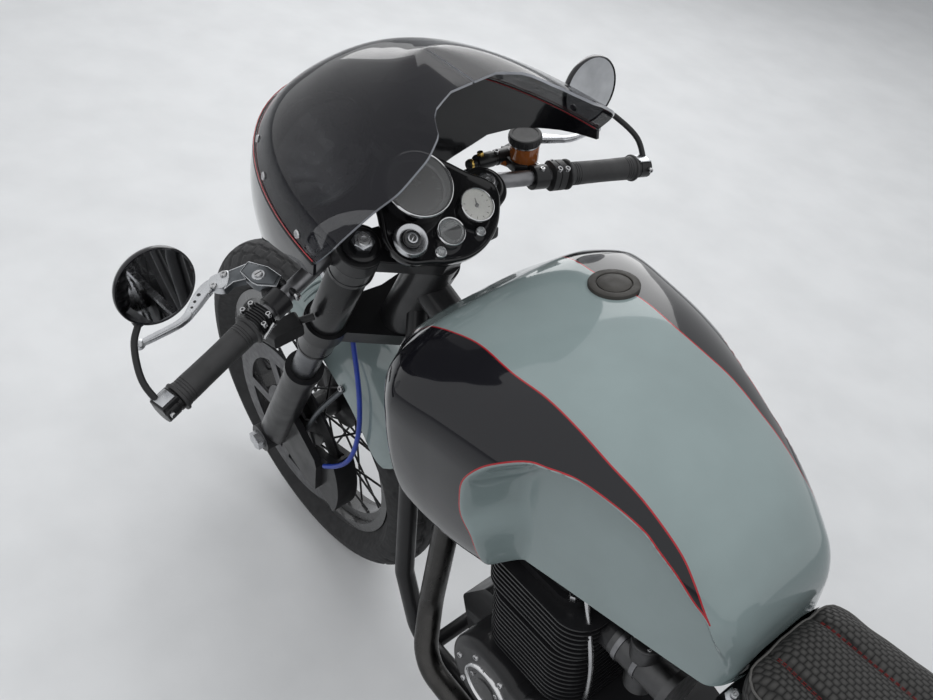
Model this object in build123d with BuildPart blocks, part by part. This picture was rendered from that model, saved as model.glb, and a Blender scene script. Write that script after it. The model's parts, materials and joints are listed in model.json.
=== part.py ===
from build123d import *
import os
from math import acos, atan2, copysign, cos, pi, radians, sin, sqrt, tan

os.makedirs("parts", exist_ok=True)

# Cafe racer motorcycle, parked on its side stand.
# Bike frame: X forward, Y to the rider's left, Z up, ground line at z = 0, midway between the axles.
# Everything is modelled upright in the bike frame and leaned over as one when it is written.

# Chassis layout
WHEELBASE = 1450.0
PARKED_LEAN = 10.5
RAKE = 26.5
FORK_OFFSET = 45.0
FORK_HALF_SPAN = 97.0

# Wheels
FRONT_TYRE_RADIUS = 318.0
TYRE_HEIGHT = 89.4
RIM_SEAT_RADIUS = FRONT_TYRE_RADIUS - TYRE_HEIGHT
FRONT_TYRE_CROWN = 50.0
FRONT_RIM_HALF = 27.0
REAR_TYRE_RADIUS = 318.0
REAR_TYRE_CROWN = 65.0
REAR_RIM_HALF = 42.0
TYRE_WALL = 7.0
RIM_WALL = 3.6
RIM_FLANGE = 12.0
RIM_WELL = 12.0
SPOKE_COUNT = 36
SPOKE_RADIUS = 2.0
SPOKE_LACING = 58.0
HUB_FLANGE_RADIUS = 56.0
HUB_FLANGE_HALF = 34.0
AXLE_RADIUS = 10.0
DISC_THICKNESS = 5.0
HUB_WALL = 12.0
FRONT_DISC_RADIUS = 160.0
FRONT_DISC_Y = 62.0
REAR_DISC_RADIUS = 120.0
REAR_DISC_Y = -72.0

# Fork, as stations along the steering axis from the point nearest the front axle
STANCHION_RADIUS = 20.5
SLIDER_RADIUS = 27.0
COVER_RADIUS = 27.0
SLIDER_TOP = 300.0
COVER_BOTTOM = 392.0
LOWER_CLAMP_BOTTOM = 452.0
LOWER_CLAMP_TOP = 484.0
TOP_CLAMP_BOTTOM = 672.0
TOP_CLAMP_TOP = 698.0
STEM_RADIUS = 14.0
HEAD_TUBE_RADIUS = 31.0

# Handlebars
BAR_RADIUS = 11.0
GRIP_RADIUS = 16.5
GRIP_INNER_END = (425.0, 252.0, 887.0)
GRIP_OUTER_END = (402.0, 367.0, 861.0)
MIRROR_CENTRE = (472.0, 337.0, 966.0)
MIRROR_RADIUS = 50.0

# Clearances
RUNNING_GAP = 0.1
SEAT_GAP = 0.3
MOVING_GAP = 5.5
BAR_BORE = BAR_RADIUS + RUNNING_GAP
HUB_BORE_CLEAR = AXLE_RADIUS + HUB_WALL + RUNNING_GAP + SEAT_GAP

# Chain drive
CHAIN_Y = 81.0
CHAIN_PITCH = 15.875
REAR_TEETH = 48
FRONT_TEETH = 18
ROLLER_RADIUS = 5.1
SPROCKET_THICKNESS = 6.0

# Frame tubes
CRADLE_RADIUS = 15.0
SPINE_RADIUS = 24.0
CRADLE_HALF_WIDTH = 104.0
SWINGARM_PIVOT = (-262.0, 0.0, 385.0)
SWINGARM_HALF_WIDTH = 118.0
SWINGARM_WALL = 16.0

SLIDER_BORE_END = 240.0
AXLE_BOSS_INNER_Y = FORK_HALF_SPAN - SLIDER_RADIUS - 0.5
AXLE_BOSS_OUTER_Y = FORK_HALF_SPAN + SLIDER_RADIUS + 3
CLIP_ON_BOTTOM = 637.0
CALIPER_INNER_Y = 44.0
CALIPER_OUTER_Y = 84.0
CALIPER_REACH = 174.0
LUG_INNER_Y = CALIPER_OUTER_Y + SEAT_GAP
LUG_THICKNESS = 12.0

# Front mudguard, as radii from the front axle and angles round it
FENDER_SKIRT = 285.0
FENDER_CROWN = 340.0
FENDER_HALF_WIDTH = 60.0
FENDER_SKIN = 3.0
STAY_Y = 76.0
FENDER_FRONT = 48.0
FENDER_REAR = 154.0

# Levers and mirrors
LEVER_PIVOT = Vector(488.0, 200.0, 907.0)
LEVER_KNEE = Vector(524.0, 236.0, 905.0)
LEVER_TIP = Vector(493.0, 368.0, 885.0)
MIRROR_FACING = (-0.992, 0.015, 0.123)
MIRROR_ARM = [(26.0, 8.0, 32.0), (60.0, -4.0, 54.0)]

# Brake hose route
HOSE_RADIUS = 4.0
HOSE_POINTS = [
    (578, 89, 356),
    (540, 88, 388),
    (502, 82, 440),
    (486, 74, 510),
    (484, 70, 580),
    (492, 66, 640),
    (504, 62, 690),
]

# Dash panel: outline and dials in its own plane, x to the right and y forward
PANEL_CENTRE = (387.6, 0.0, 966.7)
PANEL_NORMAL = (-0.55, 0.0, 0.835)
PANEL_THICKNESS = 15.0
PANEL_OUTLINE = [
    (-70, 26), (-82, -5), (-80, -28), (-67, -45), (-42, -55), (-24, -63), (5, -70), (35, -66),
    (64, -50), (86, -23), (92, -3), (84, 12), (69, 26), (50, 50), (32, 70), (12, 84), (-13, 88),
    (-40, 80), (-60, 58),
]
DIAL_POCKET = 10.0
DIALS = [
    # x, y, radius, rise
    (-13.2, 34.9, 44.5, 22),
    (-54.5, -19.7, 22.5, 12),
    (46.1, -17.3, 23.0, 14),
    (-1.5, -31.6, 19.5, 10),
    (-26.7, -48.2, 8, 6),
    (35.8, -47.3, 7, 6),
]
STEM_NUT_HEIGHT = 10.0
PANEL_STALK_LENGTH = 6.0

# Fairing and screen, each section seen from above: nose reach and half width
SHOULDER_X = 290.0
SIDE_REAR_X = 230.0
NOSE_FULLNESS = 2.1
FAIRING_SKIN = 4.0
FAIRING_TOP = 1028.0
FAIRING_SECTIONS = [
    # fall below the top, nose reach, half width
    (0.0, 653.0, 212.0),
    (98.0, 683.0, 210.0),
    (228.0, 640.0, 150.0),
]
# Side view of what is cut away behind and below the fairing: x, fall below the top
FAIRING_CUT = [
    (200, -32), (331, -32), (332, 14), (360, 21), (393, 31), (427, 44), (460, 58), (505, 88),
    (548, 138), (585, 188), (615, 248), (200, 248),
]
SCREEN_SKIN = 3.5
SCREEN_BASE = FAIRING_TOP + 0.6
SCREEN_SECTIONS = [
    # rise above the base, nose reach, half width
    (0.0, 653.0, 212.0),
    (41.0, 612.0, 201.0),
    (77.0, 566.0, 163.0),
    (99.0, 529.0, 133.0),
    (119.0, 483.0, 106.0),
    (136.0, 442.0, 81.0),
    (144.0, 424.0, 63.0),
    (150.0, 410.0, 32.0),
]
# Side view of what is cut away behind the screen: x, rise above the base
SCREEN_CUT = [
    (332, -5), (301, 41), (285, 77), (275, 99), (274, 119), (283, 136), (300, 140), (312, 144), (325, 150),
    (330, 156), (200, 156), (200, -5),
]
LAMP_CENTRE = (672.0, 0.0, 905.0)
LAMP_RIM_FRONT = 14.0
LAMP_RIM_BACK = -34.0
LAMP_RADIUS = 84.0
LAMP_DEPTH = 70.0
LENS_RADIUS = LAMP_RADIUS - 8 - SEAT_GAP
LENS_DOME = (LENS_RADIUS ** 2 + 14 ** 2) / 28
LENS_MIDDLE = 28 - LENS_DOME + sqrt(LENS_DOME ** 2 - LENS_RADIUS ** 2 / 4)

# Frame and running gear
UPRIGHT_X = -215.0
RAIL_HEIGHT = 215.0
SPINE_BEND = (330.0, 0.0, 800.0)
SPINE_END = (UPRIGHT_X, 0.0, 712.0)
SEAT_RAIL_HALF_WIDTH = 92.0
SEAT_RAIL_HEIGHT = 708.0
SEAT_RAIL_RADIUS = 11.0
TAIL_LOOP_X = -640.0
SHOCK_TOP = (-470.0, 132.0, 690.0)
SHOCK_FOOT = (-675.0, 132.0, 330.0)
SPRING_COILS = 9
SPRING_RADIUS = 25.0
SPRING_SEAT = 60.0
BOBBIN_LENGTH = 22.0
BOBBIN_BORE = 4.0
FOOTPEG = (-345.0, 225.0, 400.0)

# Chain
OUTPUT_SHAFT = (-140.0, 0.0, 372.0)
CHAIN_HALF_WIDTH = 6.5
CHAIN_HALF_HEIGHT = 6.0

# Engine
CASE_HALF_WIDTH = 72.0
COVER_DISCS = [(96, 368, 82), (-14, 390, 62)]
COVER_DEPTH = 66.0
CYLINDER_X = 52.0
BORE_SPACING = 98.0
BLOCK_BOTTOM = 456.0
BLOCK_TOP = 588.0
BLOCK_FINS = 12
HEAD_FINS = 7
FIN_PITCH = 10.0
FIN_THICKNESS = 3.0
FIN_LENGTH = 176.0
FIN_REACH = 146.0
HEAD_TOP = 668.0
ROCKER_HEIGHT = 42.0
PORT_Y = 62.0
PORT_Z = 624.0
PORT_FACE_X = 160.0
INTAKE_FACE_X = -52.0
PIPE_RADIUS = 19.0
SILENCER_SECTIONS = [(-200.0, -330.0, 19.0, 42.0), (-330.0, -720.0, 42.0, 42.0), (-720.0, -760.0, 42.0, 30.0)]

# Tank sections from front to rear
TANK_SECTIONS = [
    # station, top, half width, height of the width, fullness, bottom half width, bottom
    (324.0, 868.0, 100.0, 822.0, 3.3, 84.0, 790.0),
    (310.0, 888.0, 122.0, 828.0, 3.5, 104.0, 760.0),
    (290.0, 906.0, 143.0, 838.0, 3.6, 126.0, 732.0),
    (262.0, 928.0, 175.0, 850.0, 3.6, 148.0, 708.0),
    (220.0, 942.0, 197.0, 860.0, 3.5, 158.0, 690.0),
    (160.0, 954.0, 190.0, 861.0, 3.2, 156.0, 684.0),
    (90.0, 960.0, 180.0, 859.0, 2.95, 146.0, 688.0),
    (10.0, 955.0, 161.0, 856.0, 2.8, 130.0, 698.0),
    (-70.0, 938.0, 135.0, 846.0, 2.7, 114.0, 708.0),
    (-140.0, 908.0, 110.0, 828.0, 2.6, 98.0, 717.0),
    (-190.0, 866.0, 94.0, 806.0, 2.5, 88.0, 725.0),
    (-218.0, 834.0, 88.0, 792.0, 2.5, 84.0, 732.0),
]
TANK_FLOOR = 735.0
# Hollow in the tank's belly, seen from above: x, half width
TANK_BELLY = [(300, 60), (250, 120), (130, 120), (110, 95), (-5, 95), (-30, 80), (-150, 62), (-230, 40)]
TUNNEL_HALF_WIDTH = 30.0
TUNNEL_FRONT = 832.0
TUNNEL_REAR = 772.0
TANK_PEG_STATIONS = (230.0, 40.0)
# Knee recess: its floor leans in towards the rear, and its walls flare outwards
KNEE_Y = 105.0
KNEE_SLOPE = 0.117
KNEE_FLARE = 24.0
KNEE_REACH = 120.0
KNEE_ARCS = [
    # start, middle and end of each arc of the floor's edge, as distance behind the origin and height
    ((-75, 740), (-83, 806), (-62, 872)),
    ((-62, 872), (-2, 908), (82, 897)),
    ((82, 897), (140, 866), (200, 798)),
]
KNEE_BELOW = [(200, 798), (215, 760), (215, 640), (-75, 640), (-75, 740)]
CAP_AT = Vector(166.0, -89.0, 929.0)
CAP_AXIS = Vector(0.14, -0.10, 1.0).normalized()
CAP_RADIUS = 31.0
CAP_HEIGHT = 24.0

# Seat and tail, as heights above the seat's base
SEAT_BASE = SEAT_RAIL_HEIGHT + SEAT_RAIL_RADIUS + 11.0
SEAT_SECTIONS = [
    # station, base, top, half width, fall to the edge
    (-222.0, 8.0, 56.0, 84.0, 10.0),
    (-400.0, 8.0, 54.0, 104.0, 12.0),
    (-560.0, 12.0, 70.0, 118.0, 12.0),
    (-625.0, 14.0, 96.0, 116.0, 14.0),
]
COWL_SECTIONS = [
    (-625.3, 10.0, 138.0, 118.0, 40.0),
    (-740.0, 14.0, 156.0, 106.0, 44.0),
    (-850.0, 46.0, 138.0, 74.0, 34.0),
]
# Rubber pads under the seat: station, top
SEAT_PADS = [(-330.0, 6.8), (-520.0, 9.6)]
LAMP_TAIL_AT = (-850.4, 0.0, SEAT_BASE + 92.0)

# Horn and side stand
HORN_AT = (282.0, 0.0, 480.0)
HORN_BAR_X = 357.0
HORN_BAR_Z = 545.0
HORN_BAR_RADIUS = 7.0
STAND_PIVOT = Vector(40.0, 92.0, 176.0)
STAND_AXIS = Vector(-0.182, 0.942, 0.283).normalized()
KNUCKLE_LENGTH = 20.0
STAND_RADIUS = 9.0
FOOT_PAD_THICKNESS = 8.0


# Derived places
lean = radians(PARKED_LEAN)
rake = radians(RAKE)
FLOOR_DROP = FRONT_TYRE_CROWN * (1 - cos(lean))
front_axle_at = Vector(WHEELBASE / 2, 0, FRONT_TYRE_RADIUS)
rear_crown_height = (REAR_TYRE_CROWN - FLOOR_DROP) / cos(lean)
rear_axle_at = Vector(-WHEELBASE / 2, 0, REAR_TYRE_RADIUS - REAR_TYRE_CROWN + rear_crown_height)
PARKED = Location((0, 0, FLOOR_DROP), (-PARKED_LEAN, 0, 0))
floor = Plane(
    origin=(0, 0, -FLOOR_DROP / cos(lean)), x_dir=(1, 0, 0), z_dir=(0, -sin(lean), cos(lean))
)
steering_foot = front_axle_at - Vector(cos(rake), 0, sin(rake)) * FORK_OFFSET
steering = Plane(origin=steering_foot, x_dir=(cos(rake), 0, sin(rake)), z_dir=(-sin(rake), 0, cos(rake)))

STAND_FOOT = Vector(86.0, 286.0, (286.0 * sin(lean) - FLOOR_DROP) / cos(lean))


def in_steering(x, y, s):
    """Point at x ahead of, y beside and s along the steering axis, in the bike frame."""
    return steering.from_local_coords(Vector(x, y, s))


def mirrored(point):
    """The same point on the other side of the bike."""
    return Vector(point.X, -point.Y, point.Z)


def bar_between(start, end, radius, mode=Mode.ADD):
    """Round bar from one point to another, added to the open part."""
    run = Vector(*end) - Vector(*start)
    with BuildSketch(Plane(origin=Vector(*start), z_dir=run)) as disc:
        Circle(radius)
    extrude(disc.sketch, amount=run.length, mode=mode)


def cross_bar(x, z, y_from, y_to, radius, mode=Mode.ADD):
    """Round bar straight across the bike."""
    bar_between((x, y_from, z), (x, y_to, z), radius, mode)


def bent_tube(points, bend, radius, mode=Mode.ADD):
    """Round tube through a few points with a rounded corner at each."""
    with BuildLine() as route:
        FilletPolyline(*points, radius=bend)
    with BuildSketch(Plane(origin=route.line @ 0, z_dir=route.line % 0)) as disc:
        Circle(radius)
    sweep(disc.sketch, path=route.line, mode=mode)


def corner_radii(points):
    """Rounding for each corner of a route, from its shorter run and half its turn."""
    radii = []
    for before, corner, after in zip(points, points[1:], points[2:]):
        run_in = Vector(*corner) - Vector(*before)
        run_out = Vector(*after) - Vector(*corner)
        half_turn = radians(run_in.get_angle(run_out)) / 2
        radii.append(0.45 * min(run_in.length, run_out.length) / tan(half_turn))
    return radii


def side_plane(y):
    """Plane facing left at a distance y from the middle, local x forward and local y up."""
    return Plane(origin=(0, y, 0), x_dir=(-1, 0, 0), z_dir=(0, 1, 0))


def wheel_section(centre):
    """Plane through a wheel's axis, local x outwards from the axle and local y to the right."""
    return Plane(origin=centre, x_dir=(0, 0, 1), z_dir=(1, 0, 0))


def wheel_disc_plane(centre, y):
    """Plane across a wheel's axis at a distance y to the left of the middle."""
    return Plane(origin=(centre.X, y, centre.Z), x_dir=(1, 0, 0), z_dir=(0, 1, 0))


def closed_face(points):
    """Face inside a closed run of straight lines, added to the open sketch."""
    with BuildLine() as outline:
        Polyline(*points, close=True)
    make_face(outline.line.edges())


# Wheels: tyre carcass, rim and laced hub, turned about the axle
def tyre_profile(radius, crown, rim_half):
    """Carcass section: round crown, side walls and beads inside the rim flanges."""
    middle = radius - crown
    bead = rim_half - SEAT_GAP
    seat = RIM_SEAT_RADIUS + SEAT_GAP
    inner = crown - TYRE_WALL
    toe = bead - TYRE_WALL - 3
    shoulder = RIM_SEAT_RADIUS + RIM_FLANGE
    left = [
        (middle, crown), (shoulder, bead), (seat, bead), (seat, toe), (shoulder + 4, toe), (middle, inner),
    ]
    with BuildLine() as outline:
        CenterArc((middle, 0), crown, -90, 180)
        Polyline(*left)
        CenterArc((middle, 0), inner, -90, 180)
        Polyline(*[(r, -y) for r, y in left])
    make_face(outline.line.edges())


def rim_profile(rim_half):
    """Rolled rim section: two flanges, bead seats and a drop centre."""
    flange_top = RIM_SEAT_RADIUS + RIM_FLANGE
    well = RIM_SEAT_RADIUS - RIM_WELL
    upper = [
        (flange_top, rim_half + RIM_WALL),
        (flange_top, rim_half),
        (RIM_SEAT_RADIUS, rim_half),
        (RIM_SEAT_RADIUS, rim_half * 0.55),
        (well, rim_half * 0.4),
    ]
    under = [
        (well - RIM_WALL, rim_half * 0.4 + 2),
        (RIM_SEAT_RADIUS - RIM_WALL, rim_half * 0.55 + 2),
        (RIM_SEAT_RADIUS - RIM_WALL, rim_half + RIM_WALL),
    ]
    outline = upper + [(r, -y) for r, y in reversed(upper)]
    outline += [(r, -y) for r, y in reversed(under)] + under
    closed_face(outline)


def hub_profile(flange_half, flange_radius, barrel_radius, half_length):
    """Hub section: bore, end bosses, two spoke flanges and the barrel between them."""
    bore = AXLE_RADIUS + RUNNING_GAP
    half = [
        (bore, half_length),
        (bore + HUB_WALL, half_length),
        (bore + HUB_WALL, flange_half + 3),
        (flange_radius + 5, flange_half + 3),
        (flange_radius + 5, flange_half - 3),
        (barrel_radius, flange_half - 10),
    ]
    closed_face(half + [(r, -y) for r, y in reversed(half)])


def lace(centre, rim_half, flange_half, flange_radius):
    """Spokes from both hub flanges to the rim's drop centre, crossed in pairs."""
    rim_radius = RIM_SEAT_RADIUS - RIM_WELL - RIM_WALL - SEAT_GAP - SPOKE_RADIUS / 3
    step = 2 * pi / SPOKE_COUNT
    for index in range(SPOKE_COUNT):
        side = 1 if index % 2 else -1
        lean_way = 1 if (index // 2) % 2 else -1
        rim_angle = index * step
        hub_angle = rim_angle + lean_way * radians(SPOKE_LACING)
        start = Vector(flange_radius * cos(hub_angle), side * flange_half, flange_radius * sin(hub_angle))
        end = Vector(rim_radius * cos(rim_angle), side * rim_half * 0.15, rim_radius * sin(rim_angle))
        bar_between(centre + start, centre + end, SPOKE_RADIUS)


def brake_disc(centre, y, radius, band, carrier_radius, bore_radius):
    """Brake disc: outer band on a five-armed carrier ring."""
    with BuildSketch(wheel_disc_plane(centre, y - DISC_THICKNESS / 2)) as outline:
        Circle(radius)
        Circle(radius - band, mode=Mode.SUBTRACT)
        Circle(carrier_radius)
        with PolarLocations((radius - band + carrier_radius) / 2, 5):
            Rectangle(radius - band - carrier_radius + 16, 22)
        Circle(bore_radius, mode=Mode.SUBTRACT)
    extrude(outline.sketch, amount=DISC_THICKNESS)


def sprocket_outline(teeth):
    """Toothed outline: one rounded tooth for each link of the chain."""
    pitch_radius = CHAIN_PITCH / 2 / sin(pi / teeth)
    Circle(pitch_radius + 1.2)
    with PolarLocations(pitch_radius, teeth):
        Circle(ROLLER_RADIUS + 0.3, mode=Mode.SUBTRACT)


with BuildPart() as front_tyre:
    with BuildSketch(wheel_section(front_axle_at)) as front_tyre_section:
        tyre_profile(FRONT_TYRE_RADIUS, FRONT_TYRE_CROWN, FRONT_RIM_HALF)
    revolve(front_tyre_section.sketch, axis=Axis(front_axle_at, (0, 1, 0)))
front_tyre.part.label = "front_tyre"

with BuildPart() as front_rim:
    with BuildSketch(wheel_section(front_axle_at)) as front_rim_section:
        rim_profile(FRONT_RIM_HALF)
    revolve(front_rim_section.sketch, axis=Axis(front_axle_at, (0, 1, 0)))
front_rim.part.label = "front_rim"

with BuildPart() as front_hub:
    with BuildSketch(wheel_section(front_axle_at)) as front_hub_section:
        hub_profile(HUB_FLANGE_HALF, HUB_FLANGE_RADIUS, 26, AXLE_BOSS_INNER_Y - SEAT_GAP)
    revolve(front_hub_section.sketch, axis=Axis(front_axle_at, (0, 1, 0)))
    lace(front_axle_at, FRONT_RIM_HALF, HUB_FLANGE_HALF, HUB_FLANGE_RADIUS)
front_hub.part.label = "front_hub"

with BuildPart() as front_disc:
    brake_disc(front_axle_at, FRONT_DISC_Y, FRONT_DISC_RADIUS, 34, 72, HUB_BORE_CLEAR)
front_disc.part.label = "front_disc"

with BuildPart() as rear_tyre:
    with BuildSketch(wheel_section(rear_axle_at)) as rear_tyre_section:
        tyre_profile(REAR_TYRE_RADIUS, REAR_TYRE_CROWN, REAR_RIM_HALF)
    revolve(rear_tyre_section.sketch, axis=Axis(rear_axle_at, (0, 1, 0)))
rear_tyre.part.label = "rear_tyre"

with BuildPart() as rear_rim:
    with BuildSketch(wheel_section(rear_axle_at)) as rear_rim_section:
        rim_profile(REAR_RIM_HALF)
    revolve(rear_rim_section.sketch, axis=Axis(rear_axle_at, (0, 1, 0)))
rear_rim.part.label = "rear_rim"

with BuildPart() as rear_hub:
    with BuildSketch(wheel_section(rear_axle_at)) as rear_hub_section:
        rear_hub_half = SWINGARM_HALF_WIDTH - SWINGARM_WALL - SEAT_GAP
        hub_profile(HUB_FLANGE_HALF + 8, HUB_FLANGE_RADIUS + 8, 34, rear_hub_half)
    revolve(rear_hub_section.sketch, axis=Axis(rear_axle_at, (0, 1, 0)))
    lace(rear_axle_at, REAR_RIM_HALF, HUB_FLANGE_HALF + 8, HUB_FLANGE_RADIUS + 8)
rear_hub.part.label = "rear_hub"

with BuildPart() as rear_disc:
    brake_disc(rear_axle_at, REAR_DISC_Y, REAR_DISC_RADIUS, 30, 60, HUB_BORE_CLEAR)
rear_disc.part.label = "rear_disc"

with BuildPart() as rear_sprocket:
    sprocket_face = wheel_disc_plane(rear_axle_at, CHAIN_Y - SPROCKET_THICKNESS / 2)
    with BuildSketch(sprocket_face) as rear_sprocket_outline:
        sprocket_outline(REAR_TEETH)
        with PolarLocations(88, 6):
            Circle(18, mode=Mode.SUBTRACT)
        Circle(HUB_BORE_CLEAR, mode=Mode.SUBTRACT)
    extrude(rear_sprocket_outline.sketch, amount=SPROCKET_THICKNESS)
rear_sprocket.part.label = "rear_sprocket"


# Fork, clamps and handlebars: they turn about the steering axis
def fork_ring(y, low, high, outer, inner):
    """Sleeve round a fork leg between two stations."""
    with BuildSketch(steering.offset(low)) as ring:
        with Locations((FORK_OFFSET, y)):
            Circle(outer)
            Circle(inner, mode=Mode.SUBTRACT)
    extrude(ring.sketch, amount=high - low)


def clamp_outline(boss_radius, stem_boss_radius, waist):
    """Fork clamp seen along the steering axis: two leg bosses joined through the stem boss."""
    with BuildLine() as web:
        Polyline(
            (FORK_OFFSET + 20, FORK_HALF_SPAN),
            (FORK_OFFSET + waist, 0),
            (FORK_OFFSET + 20, -FORK_HALF_SPAN),
            (FORK_OFFSET - 24, -FORK_HALF_SPAN),
            (-stem_boss_radius, -14),
            (-stem_boss_radius, 14),
            (FORK_OFFSET - 24, FORK_HALF_SPAN),
            close=True,
        )
    make_face(web.line.edges())
    Circle(stem_boss_radius)
    with Locations((FORK_OFFSET, FORK_HALF_SPAN), (FORK_OFFSET, -FORK_HALF_SPAN)):
        Circle(boss_radius)
    with Locations((FORK_OFFSET, FORK_HALF_SPAN), (FORK_OFFSET, -FORK_HALF_SPAN)):
        Circle(STANCHION_RADIUS + RUNNING_GAP, mode=Mode.SUBTRACT)


with BuildPart() as top_clamp:
    with BuildSketch(steering.offset(TOP_CLAMP_BOTTOM)) as top_clamp_outline:
        clamp_outline(31, 27, 4)
        Circle(STEM_RADIUS + RUNNING_GAP, mode=Mode.SUBTRACT)
    extrude(top_clamp_outline.sketch, amount=TOP_CLAMP_TOP - TOP_CLAMP_BOTTOM)
    fillet(top_clamp.edges().group_by(Axis(steering.origin, steering.z_dir))[-1], 2)
top_clamp.part.label = "top_clamp"

with BuildPart() as lower_clamp:
    with BuildSketch(steering.offset(LOWER_CLAMP_BOTTOM)) as lower_clamp_outline:
        clamp_outline(33, 30, 8)
    extrude(lower_clamp_outline.sketch, amount=LOWER_CLAMP_TOP - LOWER_CLAMP_BOTTOM)
    with BuildSketch(steering.offset(LOWER_CLAMP_TOP)) as stem_disc:
        Circle(STEM_RADIUS)
    extrude(stem_disc.sketch, amount=TOP_CLAMP_TOP + 3 - LOWER_CLAMP_TOP)
    with BuildSketch(steering.offset(TOP_CLAMP_TOP + SEAT_GAP)) as stem_nut:
        RegularPolygon(19, 6)
    extrude(stem_nut.sketch, amount=STEM_NUT_HEIGHT)
lower_clamp.part.label = "lower_clamp"

with BuildPart() as fork_tubes:
    for leg_y in (FORK_HALF_SPAN, -FORK_HALF_SPAN):
        with BuildSketch(steering.offset(SLIDER_BORE_END + SEAT_GAP)) as stanchion:
            with Locations((FORK_OFFSET, leg_y)):
                Circle(STANCHION_RADIUS)
        extrude(stanchion.sketch, amount=TOP_CLAMP_TOP + 2 - SLIDER_BORE_END)
        with BuildSketch(steering.offset(TOP_CLAMP_TOP + 1)) as fork_cap:
            with Locations((FORK_OFFSET, leg_y)):
                RegularPolygon(15, 6)
        extrude(fork_cap.sketch, amount=12)
fork_tubes.part.label = "fork_tubes"

with BuildPart() as fork_covers:
    cover_bore = STANCHION_RADIUS + SEAT_GAP
    for leg_y in (FORK_HALF_SPAN, -FORK_HALF_SPAN):
        fork_ring(leg_y, COVER_BOTTOM, LOWER_CLAMP_BOTTOM - SEAT_GAP, COVER_RADIUS, cover_bore)
        fork_ring(leg_y, LOWER_CLAMP_TOP + SEAT_GAP, CLIP_ON_BOTTOM - SEAT_GAP, COVER_RADIUS, cover_bore)
fork_covers.part.label = "fork_covers"


def fork_slider(side):
    """Lower fork leg: bored tube with a dust seal collar, axle clamp and mudguard boss."""
    leg_y = side * FORK_HALF_SPAN
    with BuildSketch(steering.offset(0)) as lower_leg:
        with Locations((FORK_OFFSET, leg_y)):
            Circle(SLIDER_RADIUS)
    extrude(lower_leg.sketch, amount=SLIDER_TOP)
    with BuildSketch(steering.offset(SLIDER_TOP - 14)) as seal_collar:
        with Locations((FORK_OFFSET, leg_y)):
            Circle(SLIDER_RADIUS + 3)
    extrude(seal_collar.sketch, amount=14)
    inner_y = side * AXLE_BOSS_INNER_Y
    cross_bar(front_axle_at.X, front_axle_at.Z, inner_y, side * AXLE_BOSS_OUTER_Y, 25)
    lug_plane = Plane(origin=in_steering(0, side * LUG_INNER_Y, 0), x_dir=steering.x_dir, z_dir=(0, 1, 0))
    with BuildSketch(lug_plane) as lug_outline:
        closed_face([(42, 8), (42, -112), (20, -112), (-52, -92), (-62, -78), (-82, -12), (-70, 0)])
    extrude(lug_outline.sketch, amount=side * LUG_THICKNESS)
    with BuildSketch(steering.offset(SLIDER_BORE_END)) as bore:
        with Locations((FORK_OFFSET, leg_y)):
            Circle(STANCHION_RADIUS + SEAT_GAP)
    extrude(bore.sketch, amount=SLIDER_TOP, mode=Mode.SUBTRACT)
    axle_bore = AXLE_RADIUS + RUNNING_GAP
    cross_bar(front_axle_at.X, front_axle_at.Z, inner_y - side, leg_y + side * 40, axle_bore, Mode.SUBTRACT)


with BuildPart() as fork_slider_left:
    fork_slider(1)
fork_slider_left.part.label = "fork_slider_left"

with BuildPart() as fork_slider_right:
    fork_slider(-1)
fork_slider_right.part.label = "fork_slider_right"

with BuildPart() as front_axle:
    axle_end = AXLE_BOSS_OUTER_Y + SEAT_GAP
    cross_bar(front_axle_at.X, front_axle_at.Z, -axle_end, axle_end, AXLE_RADIUS)
    for side in (1, -1):
        nut_at = (front_axle_at.X, side * axle_end, front_axle_at.Z)
        with BuildSketch(Plane(origin=nut_at, z_dir=(0, side, 0))) as nut:
            RegularPolygon(17, 6)
        extrude(nut.sketch, amount=12)
front_axle.part.label = "front_axle"

with BuildPart() as front_caliper:
    caliper_foot = FRONT_DISC_RADIUS - 56
    caliper_at = (front_axle_at.X, CALIPER_INNER_Y, front_axle_at.Z)
    caliper_plane = Plane(origin=caliper_at, x_dir=(-1, 0, 0), z_dir=(0, 1, 0))
    with BuildSketch(caliper_plane) as caliper_outline:
        with BuildLine() as caliper_edge:
            CenterArc((0, 0), CALIPER_REACH, -30, 48)
            CenterArc((0, 0), caliper_foot, -30, 48)
            for angle in (-30, 18):
                Line(
                    (caliper_foot * cos(radians(angle)), caliper_foot * sin(radians(angle))),
                    (CALIPER_REACH * cos(radians(angle)), CALIPER_REACH * sin(radians(angle))),
                )
        make_face()
    extrude(caliper_outline.sketch, amount=CALIPER_OUTER_Y - CALIPER_INNER_Y)
    slot = wheel_disc_plane(front_axle_at, FRONT_DISC_Y - DISC_THICKNESS / 2 - MOVING_GAP)
    with BuildSketch(slot) as disc_slot:
        Circle(FRONT_DISC_RADIUS + MOVING_GAP)
    extrude(disc_slot.sketch, amount=DISC_THICKNESS + 2 * MOVING_GAP, mode=Mode.SUBTRACT)
front_caliper.part.label = "front_caliper"

with BuildPart() as brake_hose:
    with BuildLine() as hose_route:
        hose_radii = corner_radii(HOSE_POINTS)
        print("brake hose corner radii, mm:", [round(radius, 1) for radius in hose_radii])
        FilletPolyline(*HOSE_POINTS, radius=hose_radii)
    with BuildSketch(Plane(origin=hose_route.line @ 0, z_dir=hose_route.line % 0)) as hose_disc:
        Circle(HOSE_RADIUS)
    sweep(hose_disc.sketch, path=hose_route.line)
brake_hose.part.label = "brake_hose"

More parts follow.
